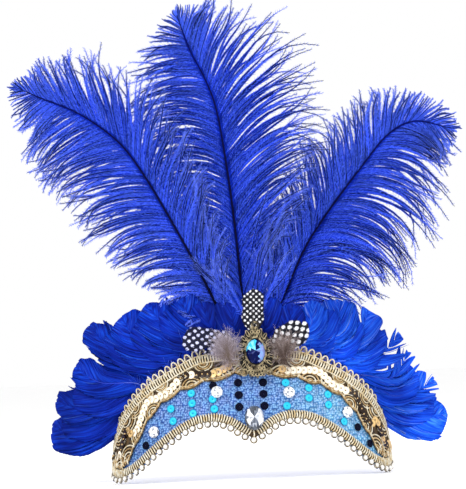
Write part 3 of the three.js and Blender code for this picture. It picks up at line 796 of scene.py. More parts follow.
@dataclass(frozen=True)
class SequinFinish(Finish):
    """Plated sequin: bright disc, darker hole and rim, and a faint painted sheen that shifts round it.

    The first texture coordinate is the share from the hole to the rim, the second the turn.
    """

    disc: str = "25D4F2"
    rim: str = "0B7FA8"
    metal: float = 0.55
    roughness: float = 0.22
    gloss: float = 0.5

    def paint(self, recipe: Recipe) -> None:
        """Wires hole, disc and rim, the painted sheen round them and fine dents."""
        u, _ = recipe.uv()
        rings = recipe.ramp(u, [(0.0, colour(self.rim)), (0.25, colour(self.disc)),
                                (0.75, colour(self.disc)), (1.0, colour(self.rim))])
        # Painted sheen: the disc brightens in soft patches round its turn.
        shift = recipe.noise(5.0, recipe.place((0.2, 6, 1)), 1.0)
        recipe.tint(recipe.mix(recipe.math("MULTIPLY", shift, 0.35), rings, colour(self.disc, 1.6)))
        recipe.bump(recipe.noise(900.0, recipe.place(of="Object"), 1.0), 0.15, 0.05)
        recipe.fix(Metallic=self.metal, Roughness=self.roughness, Specular_IOR_Level=self.gloss)


@dataclass(frozen=True)
class StoneFinish(Finish):
    """Foiled cut stone: each facet takes its own painted reflection from the first texture coordinate."""

    shades: tuple[tuple[float, str], ...] = (
        (0.0, "2A2D33"), (0.3, "A8ACB4"), (0.6, "EDEEF2"), (1.0, "FFFFFF"))
    metal: float = 0.2
    coat: float = 0.6

    def paint(self, recipe: Recipe) -> None:
        """Wires the facets' shades and a gloss coat."""
        u, _ = recipe.uv()
        cloud = recipe.noise(260.0, recipe.place(of="Object"), 2.0)
        share = recipe.math("ADD", u, recipe.math("MULTIPLY", recipe.math("SUBTRACT", cloud, 0.5), 0.25))
        recipe.tint(recipe.ramp(share, [(place, colour(code)) for place, code in self.shades]))
        recipe.fix(Metallic=self.metal, Roughness=0.12, Coat_Weight=self.coat, Coat_Roughness=0.02,
                   Specular_IOR_Level=self.coat)


@dataclass(frozen=True)
class BeadFinish(Finish):
    """Pearly clear glass bead."""

    base: str = "F2EEE2"

    def paint(self, recipe: Recipe) -> None:
        """Wires a pearly body under a gloss coat."""
        cloud = recipe.noise(500.0, recipe.place(of="Object"), 1.0)
        recipe.tint(recipe.mix(cloud, colour(self.base, 0.8), colour("FFFFFF")))
        recipe.fix(Roughness=0.2, Transmission_Weight=0.1, IOR=1.45, Coat_Weight=0.4, Coat_Roughness=0.05)


@dataclass(frozen=True)
class FloorFinish(Finish):
    """Plain pale studio floor."""

    dull: tuple[float, ...] = (0.97, 0.97, 0.97, 1)
    clean: tuple[float, ...] = (0.99, 0.99, 0.99, 1)

    def paint(self, recipe: Recipe) -> None:
        """Wires a matt white with a trace of grain."""
        grain = recipe.noise(3.0, recipe.place(of="Object"), 2.0)
        recipe.tint(recipe.mix(grain, self.dull, self.clean))
        recipe.fix(Roughness=0.9, Specular_IOR_Level=0.1)


SHAFT = FibreFinish("plume_shaft", "05071E", "070B38", "0C1460", 0.2, 0.6, 0.05)
BARB = FibreFinish("plume_barb", "060E4A", "060C3E", "060A34", 0.3, 0.5, 0.05)
WEB = FibreFinish("plume_web", "1432C4", "1E3ED4", "3850DC", 0.45, 0.6, 0.05)
FLUFF = FibreFinish("plume_fluff", "4468FA", "587AFF", "6C86F8", 0.55, 0.6, 0.05)
# Painted light: the goose vane is painted darker for the left side and lighter, with paler streaks, for the
# right side.
GOOSE_SHADED_SIDE = VaneFinish("goose_vane_left_painted_shade", "020A58", "052498", "0C40C0", "4A76E0")
GOOSE_LIT_SIDE = VaneFinish("goose_vane_right_painted_light", "0626A4", "0E4CDC", "3474F2", "A4BEF8")
# Painted shadow: the inner feathers behind the others, deep on the left and in the middle, lighter on the
# right.
GOOSE_IN_DEEP_SHADOW = VaneFinish("goose_vane_painted_deep_shadow", "020C5C", "051E8C", "0A34B0", "3C66DC")
GOOSE_IN_SHADOW_LIT_SIDE = VaneFinish("goose_vane_painted_shadow_lit_side", "051C98", "0C40CE", "2060EA", "7C9CF0")
GOOSE_WISP = FibreFinish("goose_wisp", "1A3CB8", "2A54D8", "5C7CE6", 0.4, 0.6, 0.1)
PALE_WISP = FibreFinish("pale_wisp", "8088D4", "B0B8E6", "E8EAF6", 0.3, 0.7, 0.05)
GOOSE_QUILL = FibreFinish("goose_quill", "A8B8EC", "1C3CC0", "0C2CA8", 0.2, 0.4)
GUINEA_DOTS = DottedFinish("guinea_dots_fine", 2.6, 0.76)
GUINEA_SPOTS = DottedFinish("guinea_dots_broad", 3.7, 1.2)
GUINEA_LILAC = DottedFinish("guinea_dots_lilac", 3.3, 0.95, "0E1238", "D4D6F8")
GUINEA_QUILL = FibreFinish("guinea_quill", "8A8078", "3A3634", "1A1A1E", 0.2, 0.5)
DOWN_LILAC = FibreFinish("down_lilac", "8C7866", "B2A4AC", "D2C8D6", 0.3, 0.8, 0.1)
DOWN_BROWN = FibreFinish("down_brown", "5C4A42", "94837E", "BEB0B0", 0.3, 0.8, 0.1)
LAME = LameFinish("crinkled_lame")
FELT = FeltFinish("inner_felt")
GOLD = ThreadFinish("gold_thread", "EACB96", "A47C44", 0.3, 0.4)
GOLD_PALE = ThreadFinish("pale_gold_thread", "FFF8E2", "E2C894", 0.2, 0.35)
# Dark gold thread, also the painted shadow line at the braid's scalloped edge.
GOLD_DARK = ThreadFinish("dark_gold_thread", "8E7A54", "2E2214", 0.2, 0.5)
# Partly painted shade: the dark braid ground shows as the dark gaps between the threads.
GOLD_GROUND = ThreadFinish("braid_ground", "5E4522", "1E140A", 0.0, 0.8, 8.0)
# Painted highlight: the bullion wire is dark, and its light colour in patches stands for highlights on it.
BULLION = ThreadFinish("bullion_wire", "DCCAA0", "3C2E1A", 0.3, 0.4, 70.0)
# Partly painted shade: the near-black plate behind the loops shows as their dark gaps.
BULLION_GROUND = ThreadFinish("bullion_ground", "0E0A06", "040302", 0.0, 0.8, 8.0)
CYAN = SequinFinish("cyan_cup", "18B4DE", "0C7CB4", 0.1, 0.35, 0.3)
NAVY = SequinFinish("navy_cup", "03051C", "010208", 0.0, 0.4, 0.05)
# Painted reflection: the braid's sequins are tinted by place, cream as a highlight, amber as half light and
# dark brown as a dark reflection.
SEQUIN_LIT = SequinFinish("sequin_painted_highlight", "FFF6DC", "B8945C", 0.15, 0.3, 0.4)
SEQUIN_HALF_LIT = SequinFinish("sequin_painted_half_light", "DCB478", "6E4C22", 0.3, 0.3)
SEQUIN_DARK_REFLECTION = SequinFinish("sequin_painted_dark_reflection", "241408", "0A0502", 0.1, 0.3, 0.25)
# Painted reflection: the facets' colours run from dark to white, and the sapphire's from navy through lilac
# to cyan.
CRYSTAL = StoneFinish("foiled_crystal", (
    (0.0, "0C0F18"), (0.25, "5C6472"), (0.5, "B4BAC6"), (0.75, "EEF0F6"), (1.0, "FFFFFF")), 0.1, 0.4)
SAPPHIRE = StoneFinish("foiled_sapphire", (
    (0.0, "010628"), (0.42, "05124E"), (0.62, "8C9CDC"), (0.8, "24C0F4"), (1.0, "BDF4FF")), 0.0, 0.05)
PEARL = BeadFinish("clear_bead", "F6F0E0")
FLOOR = FloorFinish("studio_floor")


@dataclass
class Band:
    """The crinkled blue arch: a felt-backed wall from the gimp's foot to the braid's outer edge."""

    columns: int = 321
    rows: int = 33
    crinkle: float = 0.12
    ridge: float = 0.15
    waist: float = 40.0
    seed: int = 11

    def build(self) -> None:
        """Makes the wall as two grids over the wrap angle and the height, joined at the rims.

        The cloth is crinkled by chance, with flat edges and no ridge above the wall's own face.
        Its first texture coordinate is the run along the wall at the waist, the second the height.
        """
        at = np.linspace(-WRAP, WRAP, self.columns)[:, None]
        share = np.linspace(0, 1, self.rows)
        low, high = ARCH.height(Edge.GIMP, at), ARCH.height(Edge.TOP, at)
        height = low + (high - low) * share
        wave = np.random.default_rng(self.seed).normal(0, self.crinkle, height.shape)
        wave[[0, -1]] = wave[:, [0, -1]] = 0
        front = ARCH.wall(at, height, np.minimum(wave, self.ridge) - self.ridge)
        back = ARCH.wall(at, height, -CLOTH)
        points, (outer, inner) = shell(front, back)
        run = travelled(ARCH.wall(at[:, 0], self.waist))
        uv = np.stack(np.broadcast_arrays(run[:, None], height), axis=-1)
        skin = Skin()
        skin.add(points, [outer], np.stack([uv, uv]), 0)
        skin.faces.append(inner)
        skin.slots.append(np.full(len(inner), 1, dtype=np.int32))
        skin.piece("lame_band", [LAME, FELT], "lame", ("band",))


@dataclass
class UpperBraid:
    """Gold braid on the upper edge: net ground, fans of thread, a snaking sequin row, a comb and picots.

    The inner edge is scalloped between cusps, wrap angles from the middle. Reflection runs give the wrap
    angle from which the sequins take a painted reflection: dark brown, amber or a cream highlight. The
    parting is the stretch behind the medallion that has none.
    """

    cusps: tuple[float, ...] = (0, 6.7, 20.5, 31.5, 41.5, 50, 58, 66, 74, 88)
    dip: float = 2.2
    comb: float = 4.3
    comb_pitch: float = 1.7
    picot_pitch: float = 4.7
    picot_reach: float = 4.1
    sequin: float = 2.55
    sequin_pitch: float = 3.45
    reflection_runs: tuple[tuple[float, int], ...] = (
        (-88, 0), (-80, 2), (-72, 0), (-65, 1), (-60, 2), (-28, 0), (-15, 1),
        (13, 2), (46, 0), (62, 1), (68, 0), (77, 1))
    parting: tuple[float, float] = (2, 10)
    thread: float = 0.5
    fan_reach: float = 7.5
    fan_width: float = 1.15
    fan_rings: tuple[tuple[float, int], ...] = ((0.22, 2), (0.48, 1), (0.74, 2), (1.0, 1))
    wave: float = 0.24
    wave_lead: float = 0.6
    tilt: float = 0.15
    seed: int = 5

    def phase(self, at: Array) -> Array:
        """Scallops travelled from the middle: whole numbers at the cusps."""
        return np.interp(np.abs(at), self.cusps, np.arange(len(self.cusps)))

    def inner(self, at: Array) -> Array:
        """Height of the scalloped inner edge."""
        return ARCH.height(Edge.INSIDE, at) - self.dip * np.abs(np.sin(math.pi * self.phase(at)))

    def ground(self, skin: Skin) -> None:
        """Adds the net strip between the scalloped edge and the top, its dark colour partly painted shade
        between the threads.
        """
        at = np.linspace(-WRAP, WRAP, 481)[:, None]
        strip(skin, at, self.inner(at), ARCH.height(Edge.TOP, at), 7, 0.5)

    def threads(self, skin: Skin) -> None:
        """Adds the comb, the picots, the comb's border cords and the scalloped edge's cords, the lowest a
        dark painted shadow line.
        """
        at = ARCH.spaced(Edge.TOP, self.comb_pitch)
        v = np.array([0.3, -0.2, -2.0, -self.comb + 0.4, -self.comb])
        off = GAP + np.array([0.6, 1.0, 1.3, 1.0, 0.6])
        teeth = ARCH.beside(Edge.TOP, at, np.zeros(len(v)), v, off)
        skin.strands(teeth, 0.52, ARCH.out(Edge.TOP, at)[:, None], 5, 1)
        self.picots(skin)
        for drop, size, high, slot in ((0.3, 0.36, 1.3, 1), (-self.comb - 0.2, 0.5, 1.2, 1),
                                       (-self.comb - 1.1, 0.4, 0.9, 3)):
            self.cord(skin, drop, size, GAP + high, slot)
        at = np.linspace(-WRAP + 0.5, WRAP - 0.5, 600)
        out = ARCH.axes(at, self.inner(at))[2][None]
        # Painted shadow: the lowest cord, in the dark thread, is the shadow line under the scalloped edge.
        for lift, size, slot in ((-0.15, 0.4, 3), (0.75, 0.5, 2), (1.75, 0.4, 1)):
            skin.strands(ARCH.wall(at, self.inner(at) + lift, GAP + 0.75)[None], size, out, 5, slot, 90.0)

    def picots(self, skin: Skin) -> None:
        """Adds the outer loops: a light one and a dark one inside it, each a little over half a ring."""
        at = ARCH.spaced(Edge.TOP, self.picot_pitch, 2.5)
        turn = np.linspace(-0.35, math.pi + 0.35, 13)
        for share, slot, out in ((1.0, 1, 0.7), (0.62, 3, 0.4)):
            u = (self.picot_pitch * 0.5 - 0.35) * share * np.cos(turn)
            v = self.picot_reach * share * np.sin(turn) + 0.1
            loops = ARCH.beside(Edge.TOP, at, u, v, GAP + out + 0.2 * np.cos(turn))
            skin.strands(loops, 0.48 * share + 0.04, ARCH.out(Edge.TOP, at)[:, None], 5, slot, 3.0)

    def cord(self, skin: Skin, drop: float, size: float, off: float, slot: int) -> None:
        """Adds a cord that runs beside the upper edge."""
        at = np.linspace(-WRAP + 0.5, WRAP - 0.5, 500)
        path = ARCH.beside(Edge.TOP, at, np.zeros(1), np.full(1, drop), off)[:, 0][None]
        skin.strands(path, size, ARCH.out(Edge.TOP, at)[None], 5, slot, 90.0)

    def fans(self, skin: Skin) -> None:
        """Adds the fans: half rings of thread round a point of the inner edge or of the comb.

        A fan's axes are the wall's, turned by the braid's slope, and round for the comb's fans.
        """
        middles = (np.array(self.cusps[:-1]) + np.array(self.cusps[1:])) / 2
        groups = ((middles, 1.0, 0.0), (np.array(self.cusps[1:-1]), -1.0, math.pi))
        turn = np.linspace(0.02 * math.pi, 0.98 * math.pi, 13)
        for angles, sign, lean in groups:
            at = np.concatenate([-angles[::-1], angles])
            foot = self.inner(at) + 1.2
            head = ARCH.height(Edge.TOP, at) - self.comb * ARCH.slant(Edge.TOP, at)
            seat = foot if sign > 0 else head - 0.3
            across = (head - foot) * (0.60 if sign > 0 else 0.52)
            slope = np.arctan2(ARCH.height(Edge.INSIDE, at + 1) - ARCH.height(Edge.INSIDE, at - 1),
                               np.linalg.norm(ARCH.wall(at + 1, 45.0) - ARCH.wall(at - 1, 45.0), axis=-1))
            flat_run = np.clip(np.cos(slope), 0.3, 1)
            along, up, out = ARCH.axes(at, seat)
            tilt = (slope + lean)[:, None]
            east, north = np.cos(tilt) * along + np.sin(tilt) * up, np.cos(tilt) * up - np.sin(tilt) * along
            for share, slot in self.fan_rings:
                reach = (np.minimum(across * flat_run, self.fan_reach) * share)[:, None, None]
                ring = ARCH.wall(at, seat)[:, None] + reach * (
                    self.fan_width * np.cos(turn)[:, None] * east[:, None]
                    + np.sin(turn)[:, None] * north[:, None])
                ring = ARCH.settle(ring, GAP + 0.95 + 0.25 * np.sin(turn))
                skin.strands(ring, self.thread, out[:, None], 4, slot, 3.0)

    def snake(self) -> None:
        """Makes the sequin row: overlapping holed discs along a wave between the fans.

        The wave is a cosine over the scallops. Each sequin takes the painted reflection of its run, and a
        pale knot sits on each one painted with the dark reflection.
        """
        at = np.linspace(-WRAP + 2, WRAP - 2, 4000)
        low = self.inner(at) + 1.9
        high = ARCH.height(Edge.TOP, at) - (self.comb + 1.2) * ARCH.slant(Edge.TOP, at)
        wave = 0.5 - self.wave * np.cos(math.pi * self.phase(at) + self.wave_lead)
        path = ARCH.wall(at, low + (high - low) * wave, GAP + 1.45)
        run = travelled(path)
        steps = np.linspace(0, run[-1], round(run[-1] / self.sequin_pitch))
        place = np.interp(steps, run, at)
        centres, before, after = (np.stack([np.interp(steps + shift, run, row) for row in path.T], axis=-1)
                                  for shift in (0.0, -0.5, 0.5))
        ahead = unit(after - before)
        out = ARCH.axes(place, centres[:, 2])[2]
        rng = np.random.default_rng(self.seed)
        tilt = self.tilt + rng.normal(0, 0.05, len(place))
        face = unit(np.cos(tilt)[:, None] * out - np.sin(tilt)[:, None] * ahead)
        # Painted reflection: each run tints its sequins dark brown, amber or cream.
        starts, reflection_tints = np.array(self.reflection_runs).T
        nearby = place + rng.normal(0, 1.6, len(place))
        shade = reflection_tints[np.clip(np.searchsorted(starts, nearby, side="right") - 1, 0, len(reflection_tints) - 1)]
        middle, half = self.parting
        seen = np.abs(place - middle) > half
        skin = Skin()
        for slot in range(3):
            pick = np.where((shade == slot) & seen)[0]
            discs(skin, centres[pick], face[pick], ahead[pick], self.sequin, 0.4, 14, slot, 0.2)
        pick = np.where((shade == 0) & seen)[0]
        knots = centres[pick] + 0.25 * face[pick]
        points, faces = balls(knots, np.full(len(knots), 0.5), 6, 3)
        skin.add(points, faces, np.array([0.5, 0.5]), 1)
        skin.piece("braid_sequins", [SEQUIN_DARK_REFLECTION, SEQUIN_HALF_LIT, SEQUIN_LIT], "gold_braid", smooth=False)

    def build(self) -> None:
        """Makes the braid and its sequins."""
        skin = Skin()
        self.ground(skin)
        self.threads(skin)
        self.fans(skin)
        skin.piece("upper_braid", [GOLD_GROUND, GOLD_PALE, GOLD, GOLD_DARK], "gold_braid", ("upper_trim",))
        self.snake()


def strip(skin: Skin, at: Array, low: Array, high: Array, rows: int, thick: float) -> None:
    """Adds the ground of a trim, a thin strip on the cloth in finish slot 0.

    Args:
        skin: Where it is gathered.
        at: Wrap angles, a column.
        low: Heights of its lower edge there.
        high: Heights of its upper edge.
        rows: Rows of points from edge to edge.
        thick: Thickness.
    """
    height = low + (high - low) * np.linspace(0, 1, rows)
    points, faces = shell(ARCH.wall(at, height, GAP + thick), ARCH.wall(at, height, GAP))
    uv = np.stack(np.broadcast_arrays(at, height), axis=-1)
    skin.add(points, faces, np.stack([uv, uv]), 0)


def discs(skin: Skin, centres: Array, face: Array, ahead: Array, radius: float,
          hole: float, sides: int, slot: int, cup: float) -> None:
    """Adds thin cupped discs with a hole: two skins between the hole and the rim.

    The profile is a closed loop of radii and levels, carried round the disc. The first texture
    coordinate is the share from the hole to the rim, the second the turn.

    Args:
        skin: Where they are gathered.
        centres: Centres, discs by 3.
        face: Direction each disc faces.
        ahead: A direction in each disc's plane.
        radius: Radius of the rim.
        hole: Radius of the hole.
        sides: Corners round the rim.
        slot: Finish slot.
        cup: How far the rim stands above the hole.
    """
    east = unit(ahead - np.sum(ahead * face, axis=-1, keepdims=True) * face)
    north = np.cross(face, east)
    turn = full_turn(sides)
    lip, knee, thick = hole * 1.25, radius * 0.62, 0.12
    profile = ((hole, 0.0, 0), (lip, thick / 2, 0.1), (knee, thick / 2 + cup * 0.3, 0.6), (radius, cup, 1),
               (radius, cup - thick, 1), (knee, -0.04 + cup * 0.2, 0.6), (lip, -thick, 0.1))
    reach, level, share = (np.array(column)[:, None, None] for column in zip(*profile))
    circle = np.cos(turn)[:, None] * east[:, None] + np.sin(turn)[:, None] * north[:, None]
    points = centres[:, None, None] + reach * circle[:, None] + level * face[:, None, None]
    rows = len(profile)
    ring = np.arange(sides)
    near = (np.arange(rows) * sides)[:, None] + ring
    far = (np.arange(rows) * sides)[:, None] + (ring + 1) % sides
    up = np.roll(near, -1, axis=0)
    up_far = np.roll(far, -1, axis=0)
    quads = np.stack([near, up, up_far, far], axis=-1).reshape(-1, 4)
    start = (np.arange(len(centres)) * rows * sides)[:, None, None]
    uv = np.stack(np.broadcast_arrays(share[..., 0], turn / (2 * math.pi)), axis=-1)
    skin.add(points, [(quads + start).reshape(-1, 4)], uv, slot)


@dataclass
class LowerTrim:
    """Gold gimp on the lower edge with a fringe of clear beads in thread loops."""

    rib_pitch: float = 1.65
    rib: float = 0.5
    rib_bow: float = 0.5
    bead: float = 1.7
    bead_drop: float = 1.5
    bead_pitch: float = 5.0
    seed: int = 8

    def ground(self, skin: Skin) -> None:
        """Adds the dark strip between the gimp's edges, its colour partly painted shade in the gaps between
        the ribs.
        """
        at = np.linspace(-WRAP, WRAP, 321)[:, None]
        strip(skin, at, ARCH.height(Edge.GIMP, at), ARCH.height(Edge.FOOT, at), 4, 0.4)

    def ribs(self, skin: Skin, rng: np.random.Generator) -> None:
        """Adds the ribs: threads bowed across the strip."""
        at = ARCH.spaced(Edge.FOOT, self.rib_pitch)
        v = np.array([0.5, 0.2, -1.2, -2.6, -3.9, -4.5])
        off = GAP + np.array([0.2, 0.85, 1.1, 1.1, 0.85, 0.2])
        sway = self.rib_bow * np.sin(np.linspace(0, math.pi, len(v)))
        sway = sway + rng.normal(0, 0.06, (len(at), len(v)))
        paths = ARCH.beside(Edge.FOOT, at, sway, v, off)
        skin.strands(paths, self.rib, ARCH.out(Edge.FOOT, at)[:, None], 5, 1)

    def fringe(self, skin: Skin, rng: np.random.Generator) -> None:
        """Adds the beads, and round each two rings of thread, one inside the other."""
        at = ARCH.spaced(Edge.GIMP, self.bead_pitch, 5.0)
        normal = ARCH.out(Edge.GIMP, at)[:, None]
        turn = full_turn(14)
        for reach, wire, out in ((2.05, 0.27, 0.75), (1.75, 0.2, 1.4)):
            ring = ARCH.beside(Edge.GIMP, at, reach * np.cos(turn), -self.bead_drop - reach * np.sin(turn),
                               GAP + out + 0.25 * np.cos(turn))
            points, faces = tubes(ring, wire, normal, 4, closed=True)
            skin.add(points, faces, np.array([0.5, 0.4]), 3)
        centres = ARCH.beside(Edge.GIMP, at, np.zeros(1), np.full(1, -self.bead_drop), GAP + 0.9)[:, 0]
        size = np.full(len(centres), self.bead) * (1 + rng.normal(0, 0.04, len(centres)))
        points, faces = balls(centres, size)
        skin.add(points, faces, np.zeros(2), 2)

    def build(self) -> None:
        """Makes the ground, the ribs across it, the loops and the beads."""
        skin = Skin()
        rng = np.random.default_rng(self.seed)
        self.ground(skin)
        self.ribs(skin, rng)
        self.fringe(skin, rng)
        finishes = [GOLD_GROUND, GOLD_PALE, PEARL, GOLD_DARK]
        skin.piece("gimp_and_beads", finishes, "gold_braid", ("lower_trim",))


@dataclass
class Sequins:
    """The dots on the cloth: cupped sequins, cyan and navy."""

    radius: float = 2.5
    hole: float = 0.22
    cup: float = 0.12
    lean: float = 0.03
    seed: int = 3
    cyan: Pairs = (
        (-36.4, 42.5), (-35.2, 34.9), (-26.4, 51.6), (-26.0, 45.4), (-25.6, 39.2), (-16.7, 47.4),
        (-16.0, 41.4), (15.0, 55.6), (14.8, 41.4), (25.4, 51.8), (25.0, 45.6), (34.6, 47.2), (34.3, 40.8),
        (41.8, 30.0))
    navy: Pairs = (
        (-50.3, 20.4), (-16.4, 55.6), (-5.5, 56.8), (-5.4, 49.3), (-5.4, 42.0), (5.2, 56.4), (5.1, 49.3),
        (5.2, 42.0), (49.8, 26.0), (57.0, 15.4))

    def build(self) -> None:
        """Makes one piece for each sequin, leaning a little by chance."""
        rng = np.random.default_rng(self.seed)
        rows = [("cyan", CYAN, *place) for place in self.cyan]
        rows += [("navy", NAVY, *place) for place in self.navy]
        for number, (tint, finish, at, height) in enumerate(rows, 1):
            along, up, out = ARCH.axes(np.array(at), np.array(height))
            lean = rng.normal(0, self.lean, 2)
            face = unit(out + lean[0] * along + lean[1] * up)
            skin = Skin()
            centre = ARCH.wall(at, height, GAP + 0.3)
            discs(skin, centre[None], face[None], along[None], self.radius, self.hole, 28, 0, self.cup)
            skin.piece(f"cup_sequin_{number}", [finish], f"sequin_{tint}", (f"sequin_{tint}_{number}",))


@dataclass
class CutStone:
    """A foiled stone: flat back, pointed girdle, rows of crown facets and a table.

    Each facet has its own painted reflection. A row is a share of the outline, a level and a turn by
    facets.
    """

    width: float
    height: float
    thick: float
    facets: int
    cut: Cut = Cut.BRIGHT
    rows: Triples = (
        (0.88, 0.0, 0.0), (1.0, 0.3, 0.0), (0.84, 0.72, 0.5), (0.52, 1.0, 0.0))

    def rings(self) -> Array:
        """Rows of corners on ovals, the last one the table."""
        share, level, turn = (np.array(column)[:, None] for column in zip(*self.rows))
        angle = 2 * math.pi * (np.arange(self.facets) + turn) / self.facets
        return np.stack([self.width / 2 * share * np.sin(angle), self.height / 2 * share * np.cos(angle),
                         self.thick * level + 0 * angle], axis=-1)

    def facet_list(self) -> list[Array]:
        """Facets as corner positions, each its own polygon.

        The table is in wedges round its middle, so that it shows the facets behind it.

        Returns:
            The back, the crown's facets and the table's wedges.
        """
        foot, girdle, crown, table = self.rings()
        made = [foot[::-1]]
        for a in range(self.facets):
            b = (a + 1) % self.facets
            made += [np.array(corners) for corners in (
                (girdle[b], girdle[a], foot[a], foot[b]), (girdle[a], crown[a], girdle[b]),
                (girdle[b], crown[a], crown[b]), (crown[a], table[b], crown[b]),
                (crown[a], table[a], table[b]))]
        middle, table = table.mean(axis=0), table[::-1]
        ring = zip(table, np.roll(table, -1, axis=0))
        return [*made, *(np.array([middle, near, far]) for near, far in ring)]

    def shade(self, centre: Array, rng: np.random.Generator) -> float:
        """The painted reflection of a facet, by where it lies on the stone and by chance.

        A sapphire is painted with a bright reflection at the upper left, a pale one on the right side and
        a dark ground. A drop is painted dark on its cross, foot and left rim. In a bright stone about one
        facet in four is painted dark.

        Args:
            centre: Middle of the facet.
            rng: Random numbers.

        Returns:
            The painted reflection, from 0 for dark to 1 for white.
        """
        x, y = centre[0] / self.width * 2, centre[1] / self.height * 2
        if self.cut is Cut.SAPPHIRE:
            if y > 0.1 and x < 0.05:
                return 0.85 + rng.normal(0, 0.06)
            if x > 0.3 and y < 0.55:
                return 0.62 + rng.normal(0, 0.05)
            return 0.15 + rng.random() * 0.3
        if self.cut is Cut.DROP:
            dark = abs(abs(x) - 0.5 * abs(y)) < 0.14 or y < -0.62 or x < -0.7 or (y > 0.5 and abs(x) < 0.4)
            return 0.02 + rng.random() * 0.3 if dark else 0.45 + rng.random() * 0.5
        return 0.7 + rng.random() * 0.3 if rng.random() > 0.28 else 0.2 + rng.random() * 0.4

    def build(self, name: str, finish: Finish, slot: str, node: str, frame: tuple[Array, ...],
              seed: int) -> None:
        """Makes the stone in a frame.

        Args:
            name: Name of the piece.
            finish: Its finish.
            slot: Material slot of the record; not used.
            node: CAD node that it stands for.
            frame: Origin, and the directions of the stone's x, y and z.
            seed: Seed of its shades.
        """
        rng = np.random.default_rng(seed)
        origin, east, north, out = frame
        skin = Skin()
        for facet in self.facet_list():
            normal = unit(np.cross(facet[1] - facet[0], facet[2] - facet[0]))
            middle = facet.mean(axis=0)
            outward = middle - np.array([0, 0, self.thick * 0.4])
            order = facet if np.dot(normal, outward) > 0 else facet[::-1]
            placed = origin + order @ np.stack([east, north, out])
            skin.add(placed, [np.arange(len(order))[None]], np.array([self.shade(middle, rng), 0.5]))
        weld(skin.piece(name, [finish], slot, (node,), smooth=False))


def weld(made: bpy.types.Object) -> None:
    """Joins corners of a mesh that lie at the same place, so that it is closed."""
    work = bmesh.new()
    work.from_mesh(made.data)
    bmesh.ops.remove_doubles(work, verts=work.verts, dist=1e-6)
    work.to_mesh(made.data)
    work.free()


@dataclass
class Stones:
    """The four rhinestones and the drop crystal, each placed by wrap angle, height and seat."""

    places: Triples = (
        (-45.4, 28.4, 0.3), (-14.6, 51.6, 1.1), (16.0, 49.6, 1.1), (44.3, 35.6, 0.3))
    round_stone: CutStone = field(default_factory=lambda: CutStone(7.6, 7.6, 2.6, 9))
    drop: CutStone = field(default_factory=lambda: CutStone(11.8, 15.5, 4.4, 16, Cut.DROP))
    drop_place: tuple[float, float, float] = (0.6, 34.8, 2 * GAP + GIMP_THICK)

    def frame(self, at: float, height: float, seat: float) -> tuple[Array, ...]:
        """Origin on the wall or off it, and the wall's axes there."""
        return (ARCH.wall(at, height, seat), *ARCH.axes(np.array(at), np.array(height)))

    def build(self) -> None:
        """Makes each stone on the wall."""
        for number, place in enumerate(self.places, 1):
            self.round_stone.build(f"cut_rhinestone_{number}", CRYSTAL, "clear_crystal",
                                   f"rhinestone_{number}", self.frame(*place), 20 + number)
        self.drop.build("cut_drop_crystal", CRYSTAL, "clear_crystal", "drop_crystal",
                        self.frame(*self.drop_place), 31)


